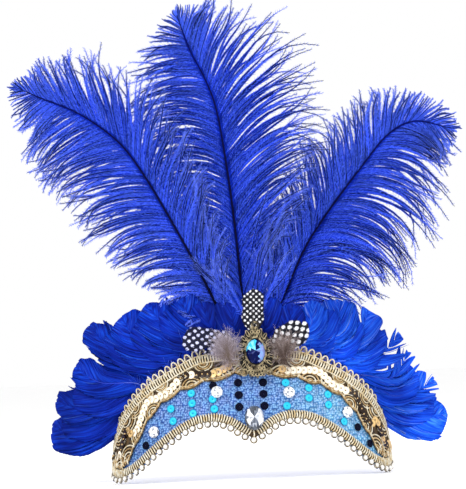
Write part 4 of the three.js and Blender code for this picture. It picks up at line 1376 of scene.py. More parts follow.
@dataclass
class Medallion:
    """Bullion teardrop: loops of wire round an oval stone, eyes at three corners, nets of small rings."""

    x: float = 3.6
    height: float = 75.0
    half_width: float = 11.0
    half_height: float = 15.8
    out: float = 4.2
    spokes: int = 19
    wire: float = 0.23
    corners: int = 48
    plate_rows: Pairs = (
        (0.94, 0.0), (0.98, 0.6), (0.8, 1.0), (0.55, 1.1), (0.02, 1.1))
    net_rows: tuple[tuple, ...] = (
        (12.4, (-2.1, 0, 2.1)), (14.3, (-1.2, 1.0)), (-10.6, (-4.2, -2.1, 0, 2.1, 4.2)),
        (-12.6, (-5.0, -3.1, -1.0, 1.1, 3.2, 5.1)), (-14.6, (-4.0, -2.0, 0.1, 2.2, 4.1)))
    net_ring: float = 0.85
    net_level: float = 3.0
    coil_share: float = 0.575
    coil_level: float = 2.7
    coil_turns: int = 30
    eyes: Pairs = ((0.4, 17.0), (-7.6, -12.6), (7.8, -12.6))
    eye_level: float = 1.4
    eye_ring: float = 1.9
    eye_wire: float = 0.55
    eye_turns: int = 17
    stone: CutStone = field(default_factory=lambda: CutStone(11.6, 15.4, 4.6, 16, Cut.SAPPHIRE))
    seat: float = 1.5

    def frame(self) -> tuple[Array, ...]:
        """Origin and axes: across, up along the lean, and out to the front."""
        turn = math.pi / 2 - math.atan(ARCH.lean_front)
        origin = ARCH.wall(0.0, self.height, GAP + self.out)
        origin = np.array([self.x, origin[1], origin[2]])
        return (origin, np.array([1.0, 0, 0]), np.array([0, math.cos(turn), math.sin(turn)]),
                np.array([0, -math.sin(turn), math.cos(turn)]))

    def put(self, flat: Array, level: float | Array) -> Array:
        """Places points of the setting's plane, raised to a level."""
        origin, *axes = self.frame()
        level = np.broadcast_to(level, flat.shape[:-1])[..., None]
        return origin + np.concatenate([flat, level], axis=-1) @ np.stack(axes)

    def oval(self, turn: Array, share: float) -> Array:
        """Points of the egg-shaped outline at an angle from the top and a share of its size."""
        taper = 1 - 0.16 * np.maximum(0, np.cos(turn)) ** 2
        return np.stack([self.half_width * share * np.sin(turn) * taper,
                         self.half_height * share * np.cos(turn)], axis=-1)

    def bend(self, skin: Skin, paths: Array, wire: float) -> None:
        """Adds closed wires."""
        points, faces = tubes(paths, wire, self.frame()[3], 4, closed=True)
        skin.add(points, faces, np.array([0.4, 0.6]), 1)

    def plate(self, skin: Skin) -> None:
        """Adds the dark plate that the wire is sewn to, rows of the outline from its back to its middle.
        Its near-black colour is partly painted shade in the gaps between the loops.
        """
        count, last = self.corners, len(self.plate_rows) - 1
        turn = full_turn(count)
        rings = np.array([self.put(self.oval(turn, share), level) for share, level in self.plate_rows])
        near = np.arange(count)
        far = (near + 1) % count
        walls = [np.stack([near, near + count, far + count, far], axis=-1) + k * count for k in range(last)]
        caps = [near[None], (near + last * count)[None][:, ::-1]]
        skin.add(rings, [np.concatenate(walls), *caps], np.array([0.2, 0.2]), 0)

    def petals(self, skin: Skin) -> None:
        """Adds the ring of wire loops that stand out from the stone, and a finer one inside it."""
        spin = full_turn(16)
        for near, far, wide, level, lead in ((0.72, 1.03, 0.8, 1.7, 0.11), (0.6, 0.8, 0.5, 2.6, 0.22)):
            turn = full_turn(self.spokes) + lead
            middle, reach = (near + far) / 2, (far - near) / 2
            centre = self.oval(turn, middle)
            away = self.oval(turn, middle + reach) - centre
            across = unit(np.stack([away[:, 1], -away[:, 0]], axis=-1)) * wide
            flat = (centre[:, None] + np.cos(spin)[:, None] * away[:, None]
                    + np.sin(spin)[:, None] * across[:, None])
            self.bend(skin, self.put(flat, level - 0.45 * np.cos(spin)), self.wire)

    def nets(self, skin: Skin) -> None:
        """Adds the nets of small rings above and below the stone, each ring tilted a little."""
        spin = full_turn(10)
        spots = np.array([(x + 0.3, y) for y, row in self.net_rows for x in row])
        ring = self.net_ring * np.stack([np.sin(spin), np.cos(spin)], axis=-1)
        self.bend(skin, self.put(spots[:, None] + ring, self.net_level + 0.2 * np.cos(spin)), self.wire)

    def coils(self, skin: Skin) -> None:
        """Adds two wires wound round an oval beside the stone, half a turn apart."""
        around = full_turn(280)
        middle = self.oval(around, self.coil_share)
        for phase in (0.0, math.pi):
            spin = around * self.coil_turns + phase
            flat = middle + 0.4 * (np.cos(spin)[:, None] * unit(middle))
            self.bend(skin, self.put(flat, self.coil_level + 0.4 * np.sin(spin))[None], 0.28)

    def eye(self, skin: Skin, x: float, y: float) -> None:
        """Adds an eye: a ring of wound wire."""
        around = full_turn(150)
        spin = around * self.eye_turns
        reach = self.eye_ring + self.eye_wire * np.cos(spin)
        flat = np.array([x, y]) + np.stack([np.sin(around), np.cos(around)], axis=-1) * reach[:, None]
        self.bend(skin, self.put(flat, self.eye_level + self.eye_wire * np.sin(spin))[None], 0.24)

    def build(self) -> None:
        """Makes the setting and the stone."""
        skin = Skin()
        self.plate(skin)
        self.petals(skin)
        self.nets(skin)
        self.coils(skin)
        for x, y in self.eyes:
            self.eye(skin, x, y)
        skin.piece("bullion_setting", [BULLION_GROUND, BULLION], "bullion", ("medallion_setting",))
        origin, east, north, out = self.frame()
        self.stone.build("cut_medallion_stone", SAPPHIRE, "sapphire_glass", "medallion_stone",
                         (origin + self.seat * out, east, north, out), 41)


# Steps of the texture coordinate from feather to feather and from vane to vane
SHIFT_FEATHER = 41.0
SHIFT_VANE = 400.0


@dataclass
class Blade:
    """A feather with two vanes of flat barbs along a quill.

    The outline opens from the foot, runs level and ends in a round cap, and each barb runs from
    the quill to a place ahead on it, by the lead. Bare is the share of the quill below the vanes.
    Fray is how far the barbs of a lock draw together at their tips, and ragged and loose are how
    much their lengths and their depths differ.
    """

    route: Route
    half: float
    bare: float
    facing: Array
    camber: float = 1.2
    barbs: int = 64
    width: float = 0.8
    lead: float = 0.2
    ragged: float = 0.06
    splits: int = 3
    fray: float = 0.15
    foot: float = 0.0
    quill: float = 0.75
    loose: float = 0.04
    seed: int = 1

    def axes(self, t: Array) -> tuple[Array, Array]:
        """Directions to the side of the quill and out of the feather's face."""
        tangent = self.route.heading(t)
        side = unit(np.cross(tangent, self.facing))
        return side, unit(np.cross(side, tangent))

    def barb_paths(self, sign: float) -> tuple[Array, ...]:
        """Routes of one vane's barbs.

        A barb leaves the quill and reaches a place ahead on the outline, where barbs of one lock
        draw together. It drops from the face by the camber times the square of its sideways share,
        and by a swing that the barbs of a lock have in common.

        Args:
            sign: Side of the quill.

        Returns:
            Routes (barbs by stations by 3), face directions, sideways reaches, quill shares, the
            lock of each barb and the stations' shares.
        """
        rng = np.random.default_rng(self.seed * 7 + int(sign > 0))
        root = np.sort(np.linspace(self.bare + 0.01, 0.985, self.barbs) + rng.normal(0, 0.001, self.barbs))
        grow = (root - self.bare) / (1 - self.bare)
        cut = np.sort(rng.choice(np.arange(8, self.barbs - 8), self.splits, replace=False))
        lock = np.searchsorted(cut, np.arange(self.barbs), side="right")
        lean = rng.normal(0, 0.045, self.splits + 1)[lock]
        cap = min(0.42, 0.9 * self.half / (self.route.length * (1 - self.bare)))
        side_end = max(0.05, 1 - cap - self.lead)
        round_ = np.clip((grow - side_end) / (1 - side_end), 0, 1) * math.pi / 2
        place = np.where(grow < side_end, grow + self.lead, 1 - cap + cap * np.sin(round_))
        place = place + lean * np.cos(round_)
        tip = np.clip(self.bare + (1 - self.bare) * place, root + 0.004, 1.0)
        short = (1 + rng.normal(0, self.ragged, self.splits + 1))[lock]
        short = short + rng.normal(0, self.ragged * 0.5, self.barbs)
        opening = self.foot + (1 - self.foot) * np.minimum(1, place / 0.3) ** 0.7
        reach = self.half * opening * np.cos(round_) * np.clip(short, 0.7, 1.06)
        size = np.bincount(lock)
        u = np.linspace(0, 1, 8)
        gather = self.fray * u ** 2
        to_tip, to_reach = (((np.bincount(lock, own) / size)[lock] - own)[:, None] for own in (tip, reach))
        t = np.clip(root[:, None] + (tip - root)[:, None] * u ** 1.1 + gather * to_tip, 0, 1)
        lateral = (reach[:, None] + gather * to_reach) * u ** 0.9
        side, face = self.axes(t)
        swing = 0.45 * np.sin(grow * 9 + self.seed) + rng.normal(0, 0.5, self.splits + 1)[lock]
        drop = self.camber * (lateral / self.half) ** 2 + (
            swing[:, None] + rng.normal(0, self.loose, (self.barbs, 1))) * u
        paths = self.route.spot(t) + sign * lateral[..., None] * side - drop[..., None] * face
        return paths, face, lateral, t, lock, u

    def vane(self, skin: Skin, sign: float, slot: int) -> None:
        """Adds one vane of separate flat barbs, its coordinates in millimetres across and along."""
        rng = np.random.default_rng(self.seed)
        paths, face, lateral, t, _, u = self.barb_paths(sign)
        radii = self.width * np.interp(u, [0, 0.2, 0.7, 1], [0.75, 1, 0.9, 0.1]) * (
            1 + rng.normal(0, 0.12, (self.barbs, 1)))
        points, faces = tubes(paths, radii, face, 4, 0.16, 0.14 * sign)
        uv = np.stack([sign * lateral, t * self.route.length], axis=-1)
        skin.add(points, faces, uv[:, :, None], slot)

    def leaf(self, skin: Skin, sign: float, slot: int) -> None:
        """Adds one vane as smooth closed sheets, one between each two splits.

        Sheets of a feather that isn't frayed share the barb at a split. The second texture
        coordinate starts elsewhere on each vane of each feather, so that no two look alike.
        """
        paths, face, _, t, lock, u = self.barb_paths(sign)
        thick = (0.16 - 0.11 * u)[None, :, None]
        for number in range(self.splits + 1):
            pick = np.where(lock == number)[0]
            if number and self.fray < 0.5:
                pick = np.concatenate([[pick[0] - 1], pick])
            pick = pick[::-1] if sign > 0 else pick
            points, faces = shell(paths[pick] + thick * face[pick], paths[pick] - thick * face[pick])
            place = t[pick, :1] * self.route.length + SHIFT_FEATHER * self.seed + SHIFT_VANE * sign
            uv = np.stack(np.broadcast_arrays(u, place), axis=-1)
            skin.add(points, faces, np.stack([uv, uv]), slot)

    def sheets(self, slot: int) -> Skin:
        """A skin with both vanes as sheets, and the quill in a finish slot."""
        skin = Skin()
        for sign in (1.0, -1.0):
            self.leaf(skin, sign, 0)
        self.stem(skin, slot)
        return skin

    def wisps(self, skin: Skin, slot: int, count: int, reach: float) -> None:
        """Adds loose downy barbs at the foot of the vanes, each curling ahead and to a side by chance."""
        rng = np.random.default_rng(self.seed * 13 + 5)
        root = self.bare * 0.9 + rng.random(count) * 0.35 * (1 - self.bare)
        side, face = self.axes(root)
        ahead = self.route.heading(root)
        u = np.linspace(0, 1, 6)[None, :, None]
        sign = np.where(rng.random(count) < 0.5, -1.0, 1.0)[:, None, None]
        size = (reach * (0.5 + 0.6 * rng.random(count)))[:, None, None]
        curl = rng.normal(0.2, 0.35, count)[:, None, None]
        paths = self.route.spot(root)[:, None] + size * (
            u * ahead[:, None] * (0.7 + curl * u) + sign * side[:, None] * u * (0.75 - 0.3 * u)
            + face[:, None] * rng.normal(0, 0.14, (count, 1, 1)) * u)
        skin.strands(paths, 0.2 * np.linspace(1, 0.3, 6), face[:, None], 3, slot)

    def stem(self, skin: Skin, slot: int) -> None:
        """Adds the quill, thinner to the tip."""
        t = np.linspace(0, 0.99, 26)
        radii = self.quill * np.interp(t, [0, self.bare, 1], [1.0, 0.8, 0.25])
        skin.strands(self.route.spot(t)[None], radii, self.axes(t)[1][None], 6, slot)


@dataclass
class GooseFan:
    """Royal blue goose feathers sewn behind the arch, and the short ones that close their feet.

    A row is a feather's wrap angle, a point on its way, its tip and half its width, and its name
    where it has a solid. Turn is how much the feathers at the sides face outward.
    """

    turn: float = 0.1
    sewn: float = 8.0
    clear: float = 8.5
    seat: float = -3.2
    fuller: float = 1.15
    inner_barbs: int = 44
    inner_half: float = 11.0
    inner_mid: float = 0.8
    inner_tip: float = 0.86
    lit_side_from: float = 14.0
    rows: tuple[tuple, ...] = (
        ("goose_left_1", -79, (-106.4, -6, 28.8), (-126.2, 3, 34.0), 12),
        ("goose_left_2", -69, (-103.0, -11, 43.9), (-122.7, -3, 49.9), 9.8),
        ("goose_left_3", -59, (-94.5, -16, 60.7), (-109.5, -9, 71.5), 9.2),
        ("goose_left_4", -49, (-85.8, -21, 81.1), (-99.3, -15, 97.0), 9.0),
        ("goose_left_5", -39, (-70.4, -26, 86.6), (-78.7, -21, 101.7), 12),
        ("goose_left_6", -28, (-51.8, -31, 93.3), (-61.9, -27, 109.1), 12),
        ("goose_left_7", -17, (-35.9, -35, 97.6), (-41.5, -32, 113.2), 10),
        ("goose_right_1", 79, (106.6, -6, 28.3), (126.2, 3, 31.9), 12),
        ("goose_right_2", 69, (98.6, -11, 44.0), (118.3, -3, 53.4), 11),
        ("goose_right_3", 59, (90.5, -16, 55.8), (102.0, -9, 71.9), 9),
        ("goose_right_4", 49, (81.8, -21, 70.1), (97.1, -15, 83.5), 11),
        ("goose_right_5", 39, (67.4, -26, 80.7), (77.0, -21, 99.5), 12),
        ("goose_right_6", 28, (54.9, -31, 86.2), (58.2, -27, 106.5), 11),
        ("goose_right_7", 17, (38.4, -35, 89.3), (41.5, -32, 105.9), 8))
    split: tuple[str, ...] = ("goose_right_3", "goose_right_4")
    loosened: tuple[str, ...] = ("goose_right_2", "goose_right_5")
    downy: str = "goose_right_1"
    gaps: tuple[str, ...] = ("goose_left_3", "goose_right_3")
    middle: tuple[tuple, ...] = (
        (-11, (-23.0, -37, 92.0), (-28.0, -35, 108.0), 9), (-4, (-9.0, -38, 93.0), (-10.0, -36, 112.0), 9),
        (5, (11.0, -38, 91.0), (13.0, -36, 110.0), 8), (11, (24.0, -37, 89.0), (29.0, -35, 104.0), 9))

    def blade(self, at: float, mid: tuple, tip: tuple, half: float, seed: int) -> Blade:
        """The feather of one row."""
        top = float(ARCH.height(Edge.TOP, np.array(at)))
        foot = (ARCH.wall(at, top + step, self.seat) for step in (-self.sewn, self.clear))
        knots = [*foot, mid, tip]
        facing = unit(np.array([math.sin(math.radians(at)) * self.turn, -1, 0.05]))
        return Blade(Route(np.array(knots, dtype=float)), half * self.fuller, 0.1, facing, barbs=84,
                     lead=0.52, ragged=0.05, splits=4, foot=0.45, fray=0.14, quill=0.5, seed=seed)

    def inner(self) -> list[tuple]:
        """Rows of the inner feathers: between two neighbours of a side, shorter than both.

        The third and fourth feathers of a side have none between them.
        """
        made = []
        for near, far in zip(self.rows[:-1], self.rows[1:]):
            if near[1] * far[1] < 0 or near[0] in self.gaps:
                continue
            at = (near[1] + far[1]) / 2
            root = ARCH.wall(at, ARCH.height(Edge.TOP, np.array(at)), self.seat)
            mid, tip = ((np.array(near[k]) + np.array(far[k])) / 2 for k in (2, 3))
            made.append((at, root + self.inner_mid * (mid - root), root + self.inner_tip * (tip - root),
                         self.inner_half))
        return made

    def build(self) -> None:
        """Makes one piece for each feather."""
        for number, (name, at, mid, tip, half) in enumerate(self.rows, 1):
            feather = self.blade(at, mid, tip, half, number)
            if name in self.split:
                feather.fray, feather.splits = 0.8, 6
            if name in self.loosened:
                feather.fray, feather.splits = 0.5, 3
            skin = feather.sheets(1)
            wisp, count = (PALE_WISP, 90) if name == self.downy else (GOOSE_WISP, 20)
            feather.wisps(skin, 2, count, 14.0)
            # Painted light: left feathers take the darker copy of the vane, right ones the lighter copy.
            vane = GOOSE_SHADED_SIDE if at < 0 else GOOSE_LIT_SIDE
            skin.piece(f"feather_{name}", [vane, GOOSE_QUILL, wisp], "goose_feather", (name,))
        for number, (at, mid, tip, half) in enumerate((*self.inner(), *self.middle), 1):
            feather = self.blade(at, mid, tip, half, 40 + number)
            feather.barbs = self.inner_barbs
            # Painted shadow: inner feathers are painted dark, less so right of this wrap angle.
            vane = GOOSE_IN_SHADOW_LIT_SIDE if at > self.lit_side_from else GOOSE_IN_DEEP_SHADOW
            feather.sheets(0).piece(f"inner_feather_{number}", [vane], "goose_feather")


@dataclass
class GuineaGroup:
    """Three dotted guinea feathers between the braid and the medallion.

    A row is a feather's name, three places by x and height, half its width and its lift to the
    front. They lean back with the band up to the height named leans, and stand upright above it.
    """

    back: float = 2.7
    leans: float = 98.0
    rows: tuple[tuple, ...] = (
        ("guinea_centre", (3.6, 82.0), (3.2, 99.0), (3.9, 114.6), 7.0, 2.0),
        ("guinea_left", (-3.5, 77.0), (-20.0, 82.0), (-41.0, 86.1), 8.5, 4.0),
        ("guinea_right", (10.5, 77.0), (22.0, 82.0), (37.0, 90.9), 8.5, 4.5))

    def spot(self, x: float, height: float, lift: float) -> Array:
        """A point in front of the braid, lifted to the front."""
        front = ARCH.wall(0.0, min(height, self.leans), GAP + self.back)[1]
        return np.array([x, front - lift, height])

    def build(self) -> None:
        """Makes one piece for each feather."""
        finishes = {"guinea_centre": GUINEA_DOTS, "guinea_left": GUINEA_LILAC, "guinea_right": GUINEA_SPOTS}
        for number, (name, root, mid, tip, half, lift) in enumerate(self.rows, 1):
            knots = [self.spot(*root, 0), self.spot(*mid, lift * 0.4), self.spot(*tip, lift)]
            feather = Blade(Route(np.array(knots)), half, 0.12, unit(np.array([0, -1, 0.1])), 1.0, 70, 0.42,
                            lead=0.24, ragged=0.03, splits=1, quill=0.35, loose=0.15, seed=60 + number)
            skin = Skin()
            feather.vane(skin, 1.0, 0)
            feather.vane(skin, -1.0, 0)
            feather.stem(skin, 1)
            skin.piece(f"dotted_{name}", [finishes[name], GUINEA_QUILL], "guinea_feather", (name,))


@dataclass
class DownTufts:
    """Two tufts of down: fine hairs that fan out of a core beside the medallion.

    Reaches gives a hair's length by its angle from the outer side, in degrees, on the left tuft.
    """

    stand: float = 7.4
    hairs: int = 300
    rows: tuple[tuple[str, float, float], ...] = (("down_left", -13.7, 76.0), ("down_right", 20.6, 75.0))
    angles: tuple[float, ...] = (-90, -35, 50, 90, 130, 175, 225, 270)
    reaches: tuple[float, ...] = (11, 8, 12, 14, 13, 11, 9, 11)

    def build(self) -> None:
        """Makes one piece for each tuft: curved hairs by direction, length and depth."""
        for number, (name, x, height) in enumerate(self.rows):
            rng = np.random.default_rng(80 + number)
            count = self.hairs if number == 0 else self.hairs * 2 // 3
            core = np.array([x, ARCH.wall(0.0, height, GAP + self.stand)[1], height])
            upward = rng.random(count) < 0.7
            angle = np.where(upward, rng.normal(110, 34, count), rng.uniform(-70, 270, count))
            reach = np.interp(angle, self.angles, self.reaches) * rng.uniform(0.5, 1.15, count)
            heading = np.radians(np.where(x < 0, angle, 180 - angle))
            depth = rng.normal(0, 0.25, count)
            u = np.linspace(0, 1, 7)
            turn = heading[:, None] + rng.normal(0, 0.5, count)[:, None] * u
            step = reach[:, None] / (len(u) - 1)
            run = np.cumsum(np.stack([np.cos(turn) * step, (depth[:, None] + 0 * turn) * step,
                                      np.sin(turn) * step], axis=-1)[:, 1:], axis=1)
            foot = rng.normal(0, 1.0, (count, 3)) * np.array([1.2, 0.8, 2.6])
            start = core + foot - np.array([0, 0, 2.0])
            paths = np.concatenate([start[:, None], start[:, None] + run], axis=1)
            paths[..., 1] += 1.2 * u ** 2 * np.sin(turn)
            skin = Skin()
            skin.strands(paths, 0.11 * np.linspace(1.2, 0.35, len(u)), FRONT, 3)
            barbules(skin, paths, 9, 3.4, 0.055, FRONT, rng, 0)
            skin.piece(f"hairs_{name}", [DOWN_BROWN if number else DOWN_LILAC], "down", (name,))


def barbules(skin: Skin, paths: Array, count: int, reach: float | Array, radius: float,
             normal: Array, rng: np.random.Generator, slot: int) -> None:
    """Adds the side hairs of barbs as closed slivers.

    A sliver's tip lies from its root by reach times (cosine of the leaning angle along the barb,
    sine of it to the side), and its foot is a small triangle across that direction. Slivers grow
    longer over the first fifth of a barb and shorter by half towards its tip.

    Args:
        skin: Where they are gathered.
        paths: The barbs, barbs by stations by 3.
        count: Slivers on each side of a barb.
        reach: Length of the longest, one number or one for each barb.
        radius: Radius of a foot.
        normal: Direction that the barbs' sheet faces.
        rng: Random numbers.
        slot: Finish slot.
    """
    barbs, stations, _ = paths.shape
    share = (np.arange(2 * count)[None] + rng.random((barbs, 2 * count))) / (2 * count)
    share = 0.04 + 0.95 * share
    place = share * (stations - 1)
    low = np.minimum(place.astype(int), stations - 2)
    rest = (place - low)[..., None]
    row = np.arange(barbs)[:, None]
    a, b = paths[row, low], paths[row, low + 1]
    root = a + (b - a) * rest
    ahead = unit(b - a)
    side = unit(np.cross(ahead, np.broadcast_to(normal, ahead.shape)))
    face = np.cross(side, ahead)
    sign = np.where(np.arange(2 * count) % 2 == 0, 1.0, -1.0)
    lean = rng.uniform(0.5, 0.95, share.shape)[..., None]
    roll = rng.normal(0, 0.65, share.shape)[..., None]
    out = sign[None, :, None] * np.cos(roll) * side + np.sin(roll) * face
    away = np.cos(lean) * ahead + np.sin(lean) * out
    size = np.reshape(reach, (-1, 1)) * (1 - 0.5 * share ** 3) * np.minimum(1, 0.35 + share / 0.2)
    size = size * rng.uniform(0.6, 1.15, share.shape)
    tip = root + away * size[..., None]
    flat = unit(np.cross(away, face))
    deep = np.cross(away, flat)
    turn = np.array([0, 2, 4]) * math.pi / 3
    foot = root[..., None, :] + radius * (np.cos(turn)[:, None] * flat[..., None, :]
                                          + np.sin(turn)[:, None] * deep[..., None, :])
    points = np.concatenate([foot, tip[..., None, :]], axis=-2)
    start = 4 * np.arange(barbs * 2 * count)[:, None, None]
    corners = np.array([[0, 2, 1], [0, 1, 3], [1, 2, 3], [2, 0, 3]])
    shade = 0.45 * rng.random((barbs, 1)) + 0.55 * rng.random(share.shape)
    uv = np.stack([share, shade], axis=-1)
    skin.add(points, [(corners + start).reshape(-1, 3)], uv[..., None, :], slot)


@dataclass
class Plume:
    """An ostrich plume: a dark shaft and two vanes of fluffed barbs.

    A vane's table gives, by the share of the shaft, the barbs' length and their direction from the
    shaft's own where they leave it and where they end, in degrees. The barbs start at the share
    named start, and the parting is where the right vane opens.
    """

    name: str
    at: float
    bow: float
    shaft: Triples
    left: tuple[tuple[float, float, float, float], ...]
    right: tuple[tuple[float, float, float, float], ...]
    parting: float = -1.0
    opening: float = 9.0
    barbs: int = 200
    fluffs: int = 43
    fluff: float = 3.6
    fluff_foot: float = 0.29
    stations: int = 10
    start: float = 0.1
    ripple: float = 6.0
    hook: float = 60.0
    draw: float = 3.2
    seed: int = 100

    def route(self) -> Route:
        """The shaft, from where it is sewn behind the arch to its tip."""
        rim = float(ARCH.height(Edge.TOP, np.array(self.at)))
        seat = -CLOTH - GAP - 1.3 - 0.1
        sewn = [ARCH.wall(self.at, rim - 16, seat), ARCH.wall(self.at, rim + 1, seat)]
        return Route(np.array([*sewn, *self.shaft], dtype=float))

    def stem(self, route: Route) -> None:
        """Makes the shaft, thinner to the tip."""
        share = np.linspace(0, 1, 90)
        skin = Skin()
        skin.strands(route.spot(route.share(share))[None],
                     np.interp(route.share(share), [0, 0.35, 1], [1.25, 0.8, 0.25]), FRONT, 8)
        skin.piece(f"{self.name}_shaft", [SHAFT], "ostrich_feather", (self.name,))

    def bearings(self, side: Side, along: Array, leave: Array, end: Array, lock: Array,
                 within: Array, rng: np.random.Generator) -> Array:
        """Directions of the barbs' steps from the shaft's own, in degrees.

        A direction turns evenly from where the barb leaves the shaft to its tip. To it come a
        swing that grows along the barb, a pull to the lock's middle, a ripple and a hook at the end.

        Args:
            side: Side of the shaft.
            along: Place of each barb on the vane.
            leave: Direction in which it leaves.
            end: Direction in which it ends.
            lock: Lock of each barb.
            within: Its place in the lock.
            rng: Random numbers.

        Returns:
            The directions, barbs by steps.
        """
        count = self.barbs
        u = np.linspace(0, 1, self.stations)
        mid = (u[1:] + u[:-1]) / 2
        gap = along - self.parting
        apart = (self.opening if side is Side.RIGHT else 0) * np.sign(gap) * np.exp(-np.abs(gap) / 0.06)
        stray = rng.normal(0, 1, count) * (1.6 + 10 * self.low(along))
        stray = stray + rng.normal(0, 3.2, lock.max() + 1)[lock] - apart
        wild = np.where(rng.random(count) < 0.07, rng.normal(0, 14, count), 0)
        swing = (stray + wild)[:, None] * mid - within[:, None] * self.draw * np.maximum(0, mid - 0.3)
        ripple = rng.normal(0, self.ripple, (count, 1))
        ripple = ripple * np.sin(2 * math.pi * (mid + rng.random((count, 1))))
        hook = rng.normal(0, self.hook, (count, 1)) * np.maximum(0, mid - 0.6)
        return leave[:, None] + (end - leave)[:, None] * mid + swing + ripple + hook

    def low(self, along: Array) -> Array:
        """How much a barb belongs to the looser foot of the plume, 1 at the start and fading upward."""
        return np.exp(-(along - self.start) / 0.09)

    def vane(self, route: Route, side: Side) -> None:
        """Makes one vane.

        A barb's points are the running sum of short steps in its directions, with a bow out of the
        plume's face. Neighbours gather into locks whose tips draw together. A barb is a flat web
        with side hairs, and those in the middle of a lock have a dark rib.

        Args:
            route: The shaft.
            side: Side of the shaft.
        """
        rows = np.array(self.left if side is Side.LEFT else self.right)
        rng = np.random.default_rng(self.seed + (0 if side is Side.LEFT else 50))
        count = self.barbs
        along = self.start + (0.997 - self.start) * np.linspace(0, 1, count) ** 1.12
        known = np.maximum(along, rows[0, 0])
        reach, leave, end = (curve_through(rows[:, 0], rows[:, k], known) for k in (1, 2, 3))
        t = route.share(0.16 + 0.84 * (along - 0.13) / 0.87)
        tangent = route.heading(t)
        heading = np.arctan2(tangent[:, 2], tangent[:, 0])
        lock, within = self.locks(rng)
        turned = side.value * np.radians(self.bearings(side, along, leave, end, lock, within, rng))
        angle = heading[:, None] + turned
        length = reach * (1 + rng.normal(0, 0.05, count) + rng.normal(0, 0.07, lock.max() + 1)[lock])
        step = (length / (self.stations - 1))[:, None]
        run = np.cumsum(np.stack([np.cos(angle) * step, np.sin(angle) * step], axis=-1), axis=1)
        run = np.concatenate([np.zeros((count, 1, 2)), run], axis=1)
        u = np.linspace(0, 1, self.stations)
        loose = rng.normal(0, 1, (count, 1)) * (2.2 + 4 * self.low(along)[:, None])
        loose = loose + rng.normal(0, 2.0, lock.max() + 1)[lock][:, None]
        deep = (self.bow * np.minimum(1, reach / 50))[:, None] * u ** 2
        deep = deep + np.minimum(1, reach / 40)[:, None] * loose * u ** 1.3
        paths = route.spot(t)[:, None] + np.stack([run[..., 0], deep, run[..., 1]], axis=-1)
        small = np.clip(reach / 32, 0.35, 1)
        rib = np.abs(within) < 0.6
        ribs = np.interp(u, [0, 0.3, 0.75, 1], [0.12, 0.24, 0.33, 0.17])
        web = np.interp(u, [0, 0.1, 0.5, 0.66, 0.85, 1], [0.85, 0.95, 0.82, 0.5, 0.22, 0.07])
        skin = Skin()
        skin.strands(paths[rib] + 0.5 * FRONT, ribs, FRONT, 3, 0)
        skin.strands(paths - 0.35 * FRONT, web * small[:, None], FRONT, 4, 1, flat=0.25)
        hairs = self.fluffs
        barbules(skin, paths, hairs, self.fluff * small, self.fluff_foot, FRONT, rng, 2)
        skin.piece(f"{self.name}_{side.name.lower()}_vane", [BARB, WEB, FLUFF], "ostrich_feather")

    def locks(self, rng: np.random.Generator) -> tuple[Array, Array]:
        """The lock of each barb, and its place in the lock from the middle."""
        ends = np.cumsum(rng.choice([1, 2, 2, 3, 3, 4], self.barbs))
        lock = np.searchsorted(ends, np.arange(self.barbs), side="right")
        starts = np.concatenate([[0], ends])
        middle = (starts[lock] + starts[lock + 1] - 1) / 2
        return lock, np.arange(self.barbs) - middle

    def build(self) -> None:
        """Makes the shaft and both vanes."""
        route = self.route()
        self.stem(route)
        self.vane(route, Side.LEFT)
        self.vane(route, Side.RIGHT)


PLUMES = (
    Plume("plume_centre", -1, 4,
          ((2.4, -36.5, 89.5), (-2.2, -26, 111.6), (-4.3, -18.5, 146.2), (-8.0, -11, 190.4),
           (-14.2, -10, 234.1), (-20.9, -12, 252.5), (-28.4, -16, 267.6), (-36.1, -25, 289.2)),
          ((0.13, 44, 24, 36), (0.35, 60, 36, 128), (0.6, 68, 42, 146), (0.75, 56, 46, 112),
           (0.88, 33, 54, 76), (0.95, 15, 45, 50), (1, 4, 10, 5)),
          ((0.13, 50, 30, 36), (0.35, 64, 34, 72), (0.55, 74, 38, 94), (0.72, 67, 38, 78),
           (0.86, 41, 38, 54), (0.94, 20, 36, 42), (1, 5, 10, 15)), seed=100),
    Plume("plume_left", -7, -3,
          ((-15.9, -30, 97.9), (-24.9, -30, 119.1), (-39.9, -31, 149.6), (-63.3, -28, 193.1),
           (-76.6, -26, 211.2), (-100.1, -21, 229.8), (-125.0, -17, 241.8), (-139.7, -17, 248.9)),
          ((0.13, 26, 45, 80), (0.3, 44, 48, 98), (0.45, 54, 50, 104), (0.6, 57, 54, 96),
           (0.74, 50, 56, 86), (0.87, 32, 56, 76), (0.94, 17, 46, 60), (1, 4, 20, 20)),
          ((0.13, 42, 16, 22), (0.35, 48, 28, 58), (0.52, 48, 34, 62), (0.62, 52, 34, 40),
           (0.72, 50, 34, 32), (0.84, 35, 34, 38), (0.93, 18, 32, 38), (1, 4, 10, 15)),
          parting=0.62, seed=200),
    Plume("plume_right", 7, 4,
          ((11.2, -31, 86.1), (24.4, -18, 110.8), (38.6, -6, 138.9), (49.0, 0, 154.5),
           (76.8, 6, 189.3), (98.8, 10, 213.2), (113.8, 8, 219.5), (136.8, -2, 213.0)),
          ((0.13, 52, 26, 34), (0.3, 52, 30, 46), (0.5, 50, 32, 54), (0.66, 45, 32, 52),
           (0.82, 27, 38, 30), (0.93, 16, 42, 30), (1, 6, 15, 15)),
          ((0.13, 40, 30, 110), (0.35, 64, 38, 125), (0.6, 64, 40, 126), (0.8, 44, 36, 96),
           (0.93, 23, 30, 58), (1, 4, 10, 15)), seed=300),
)


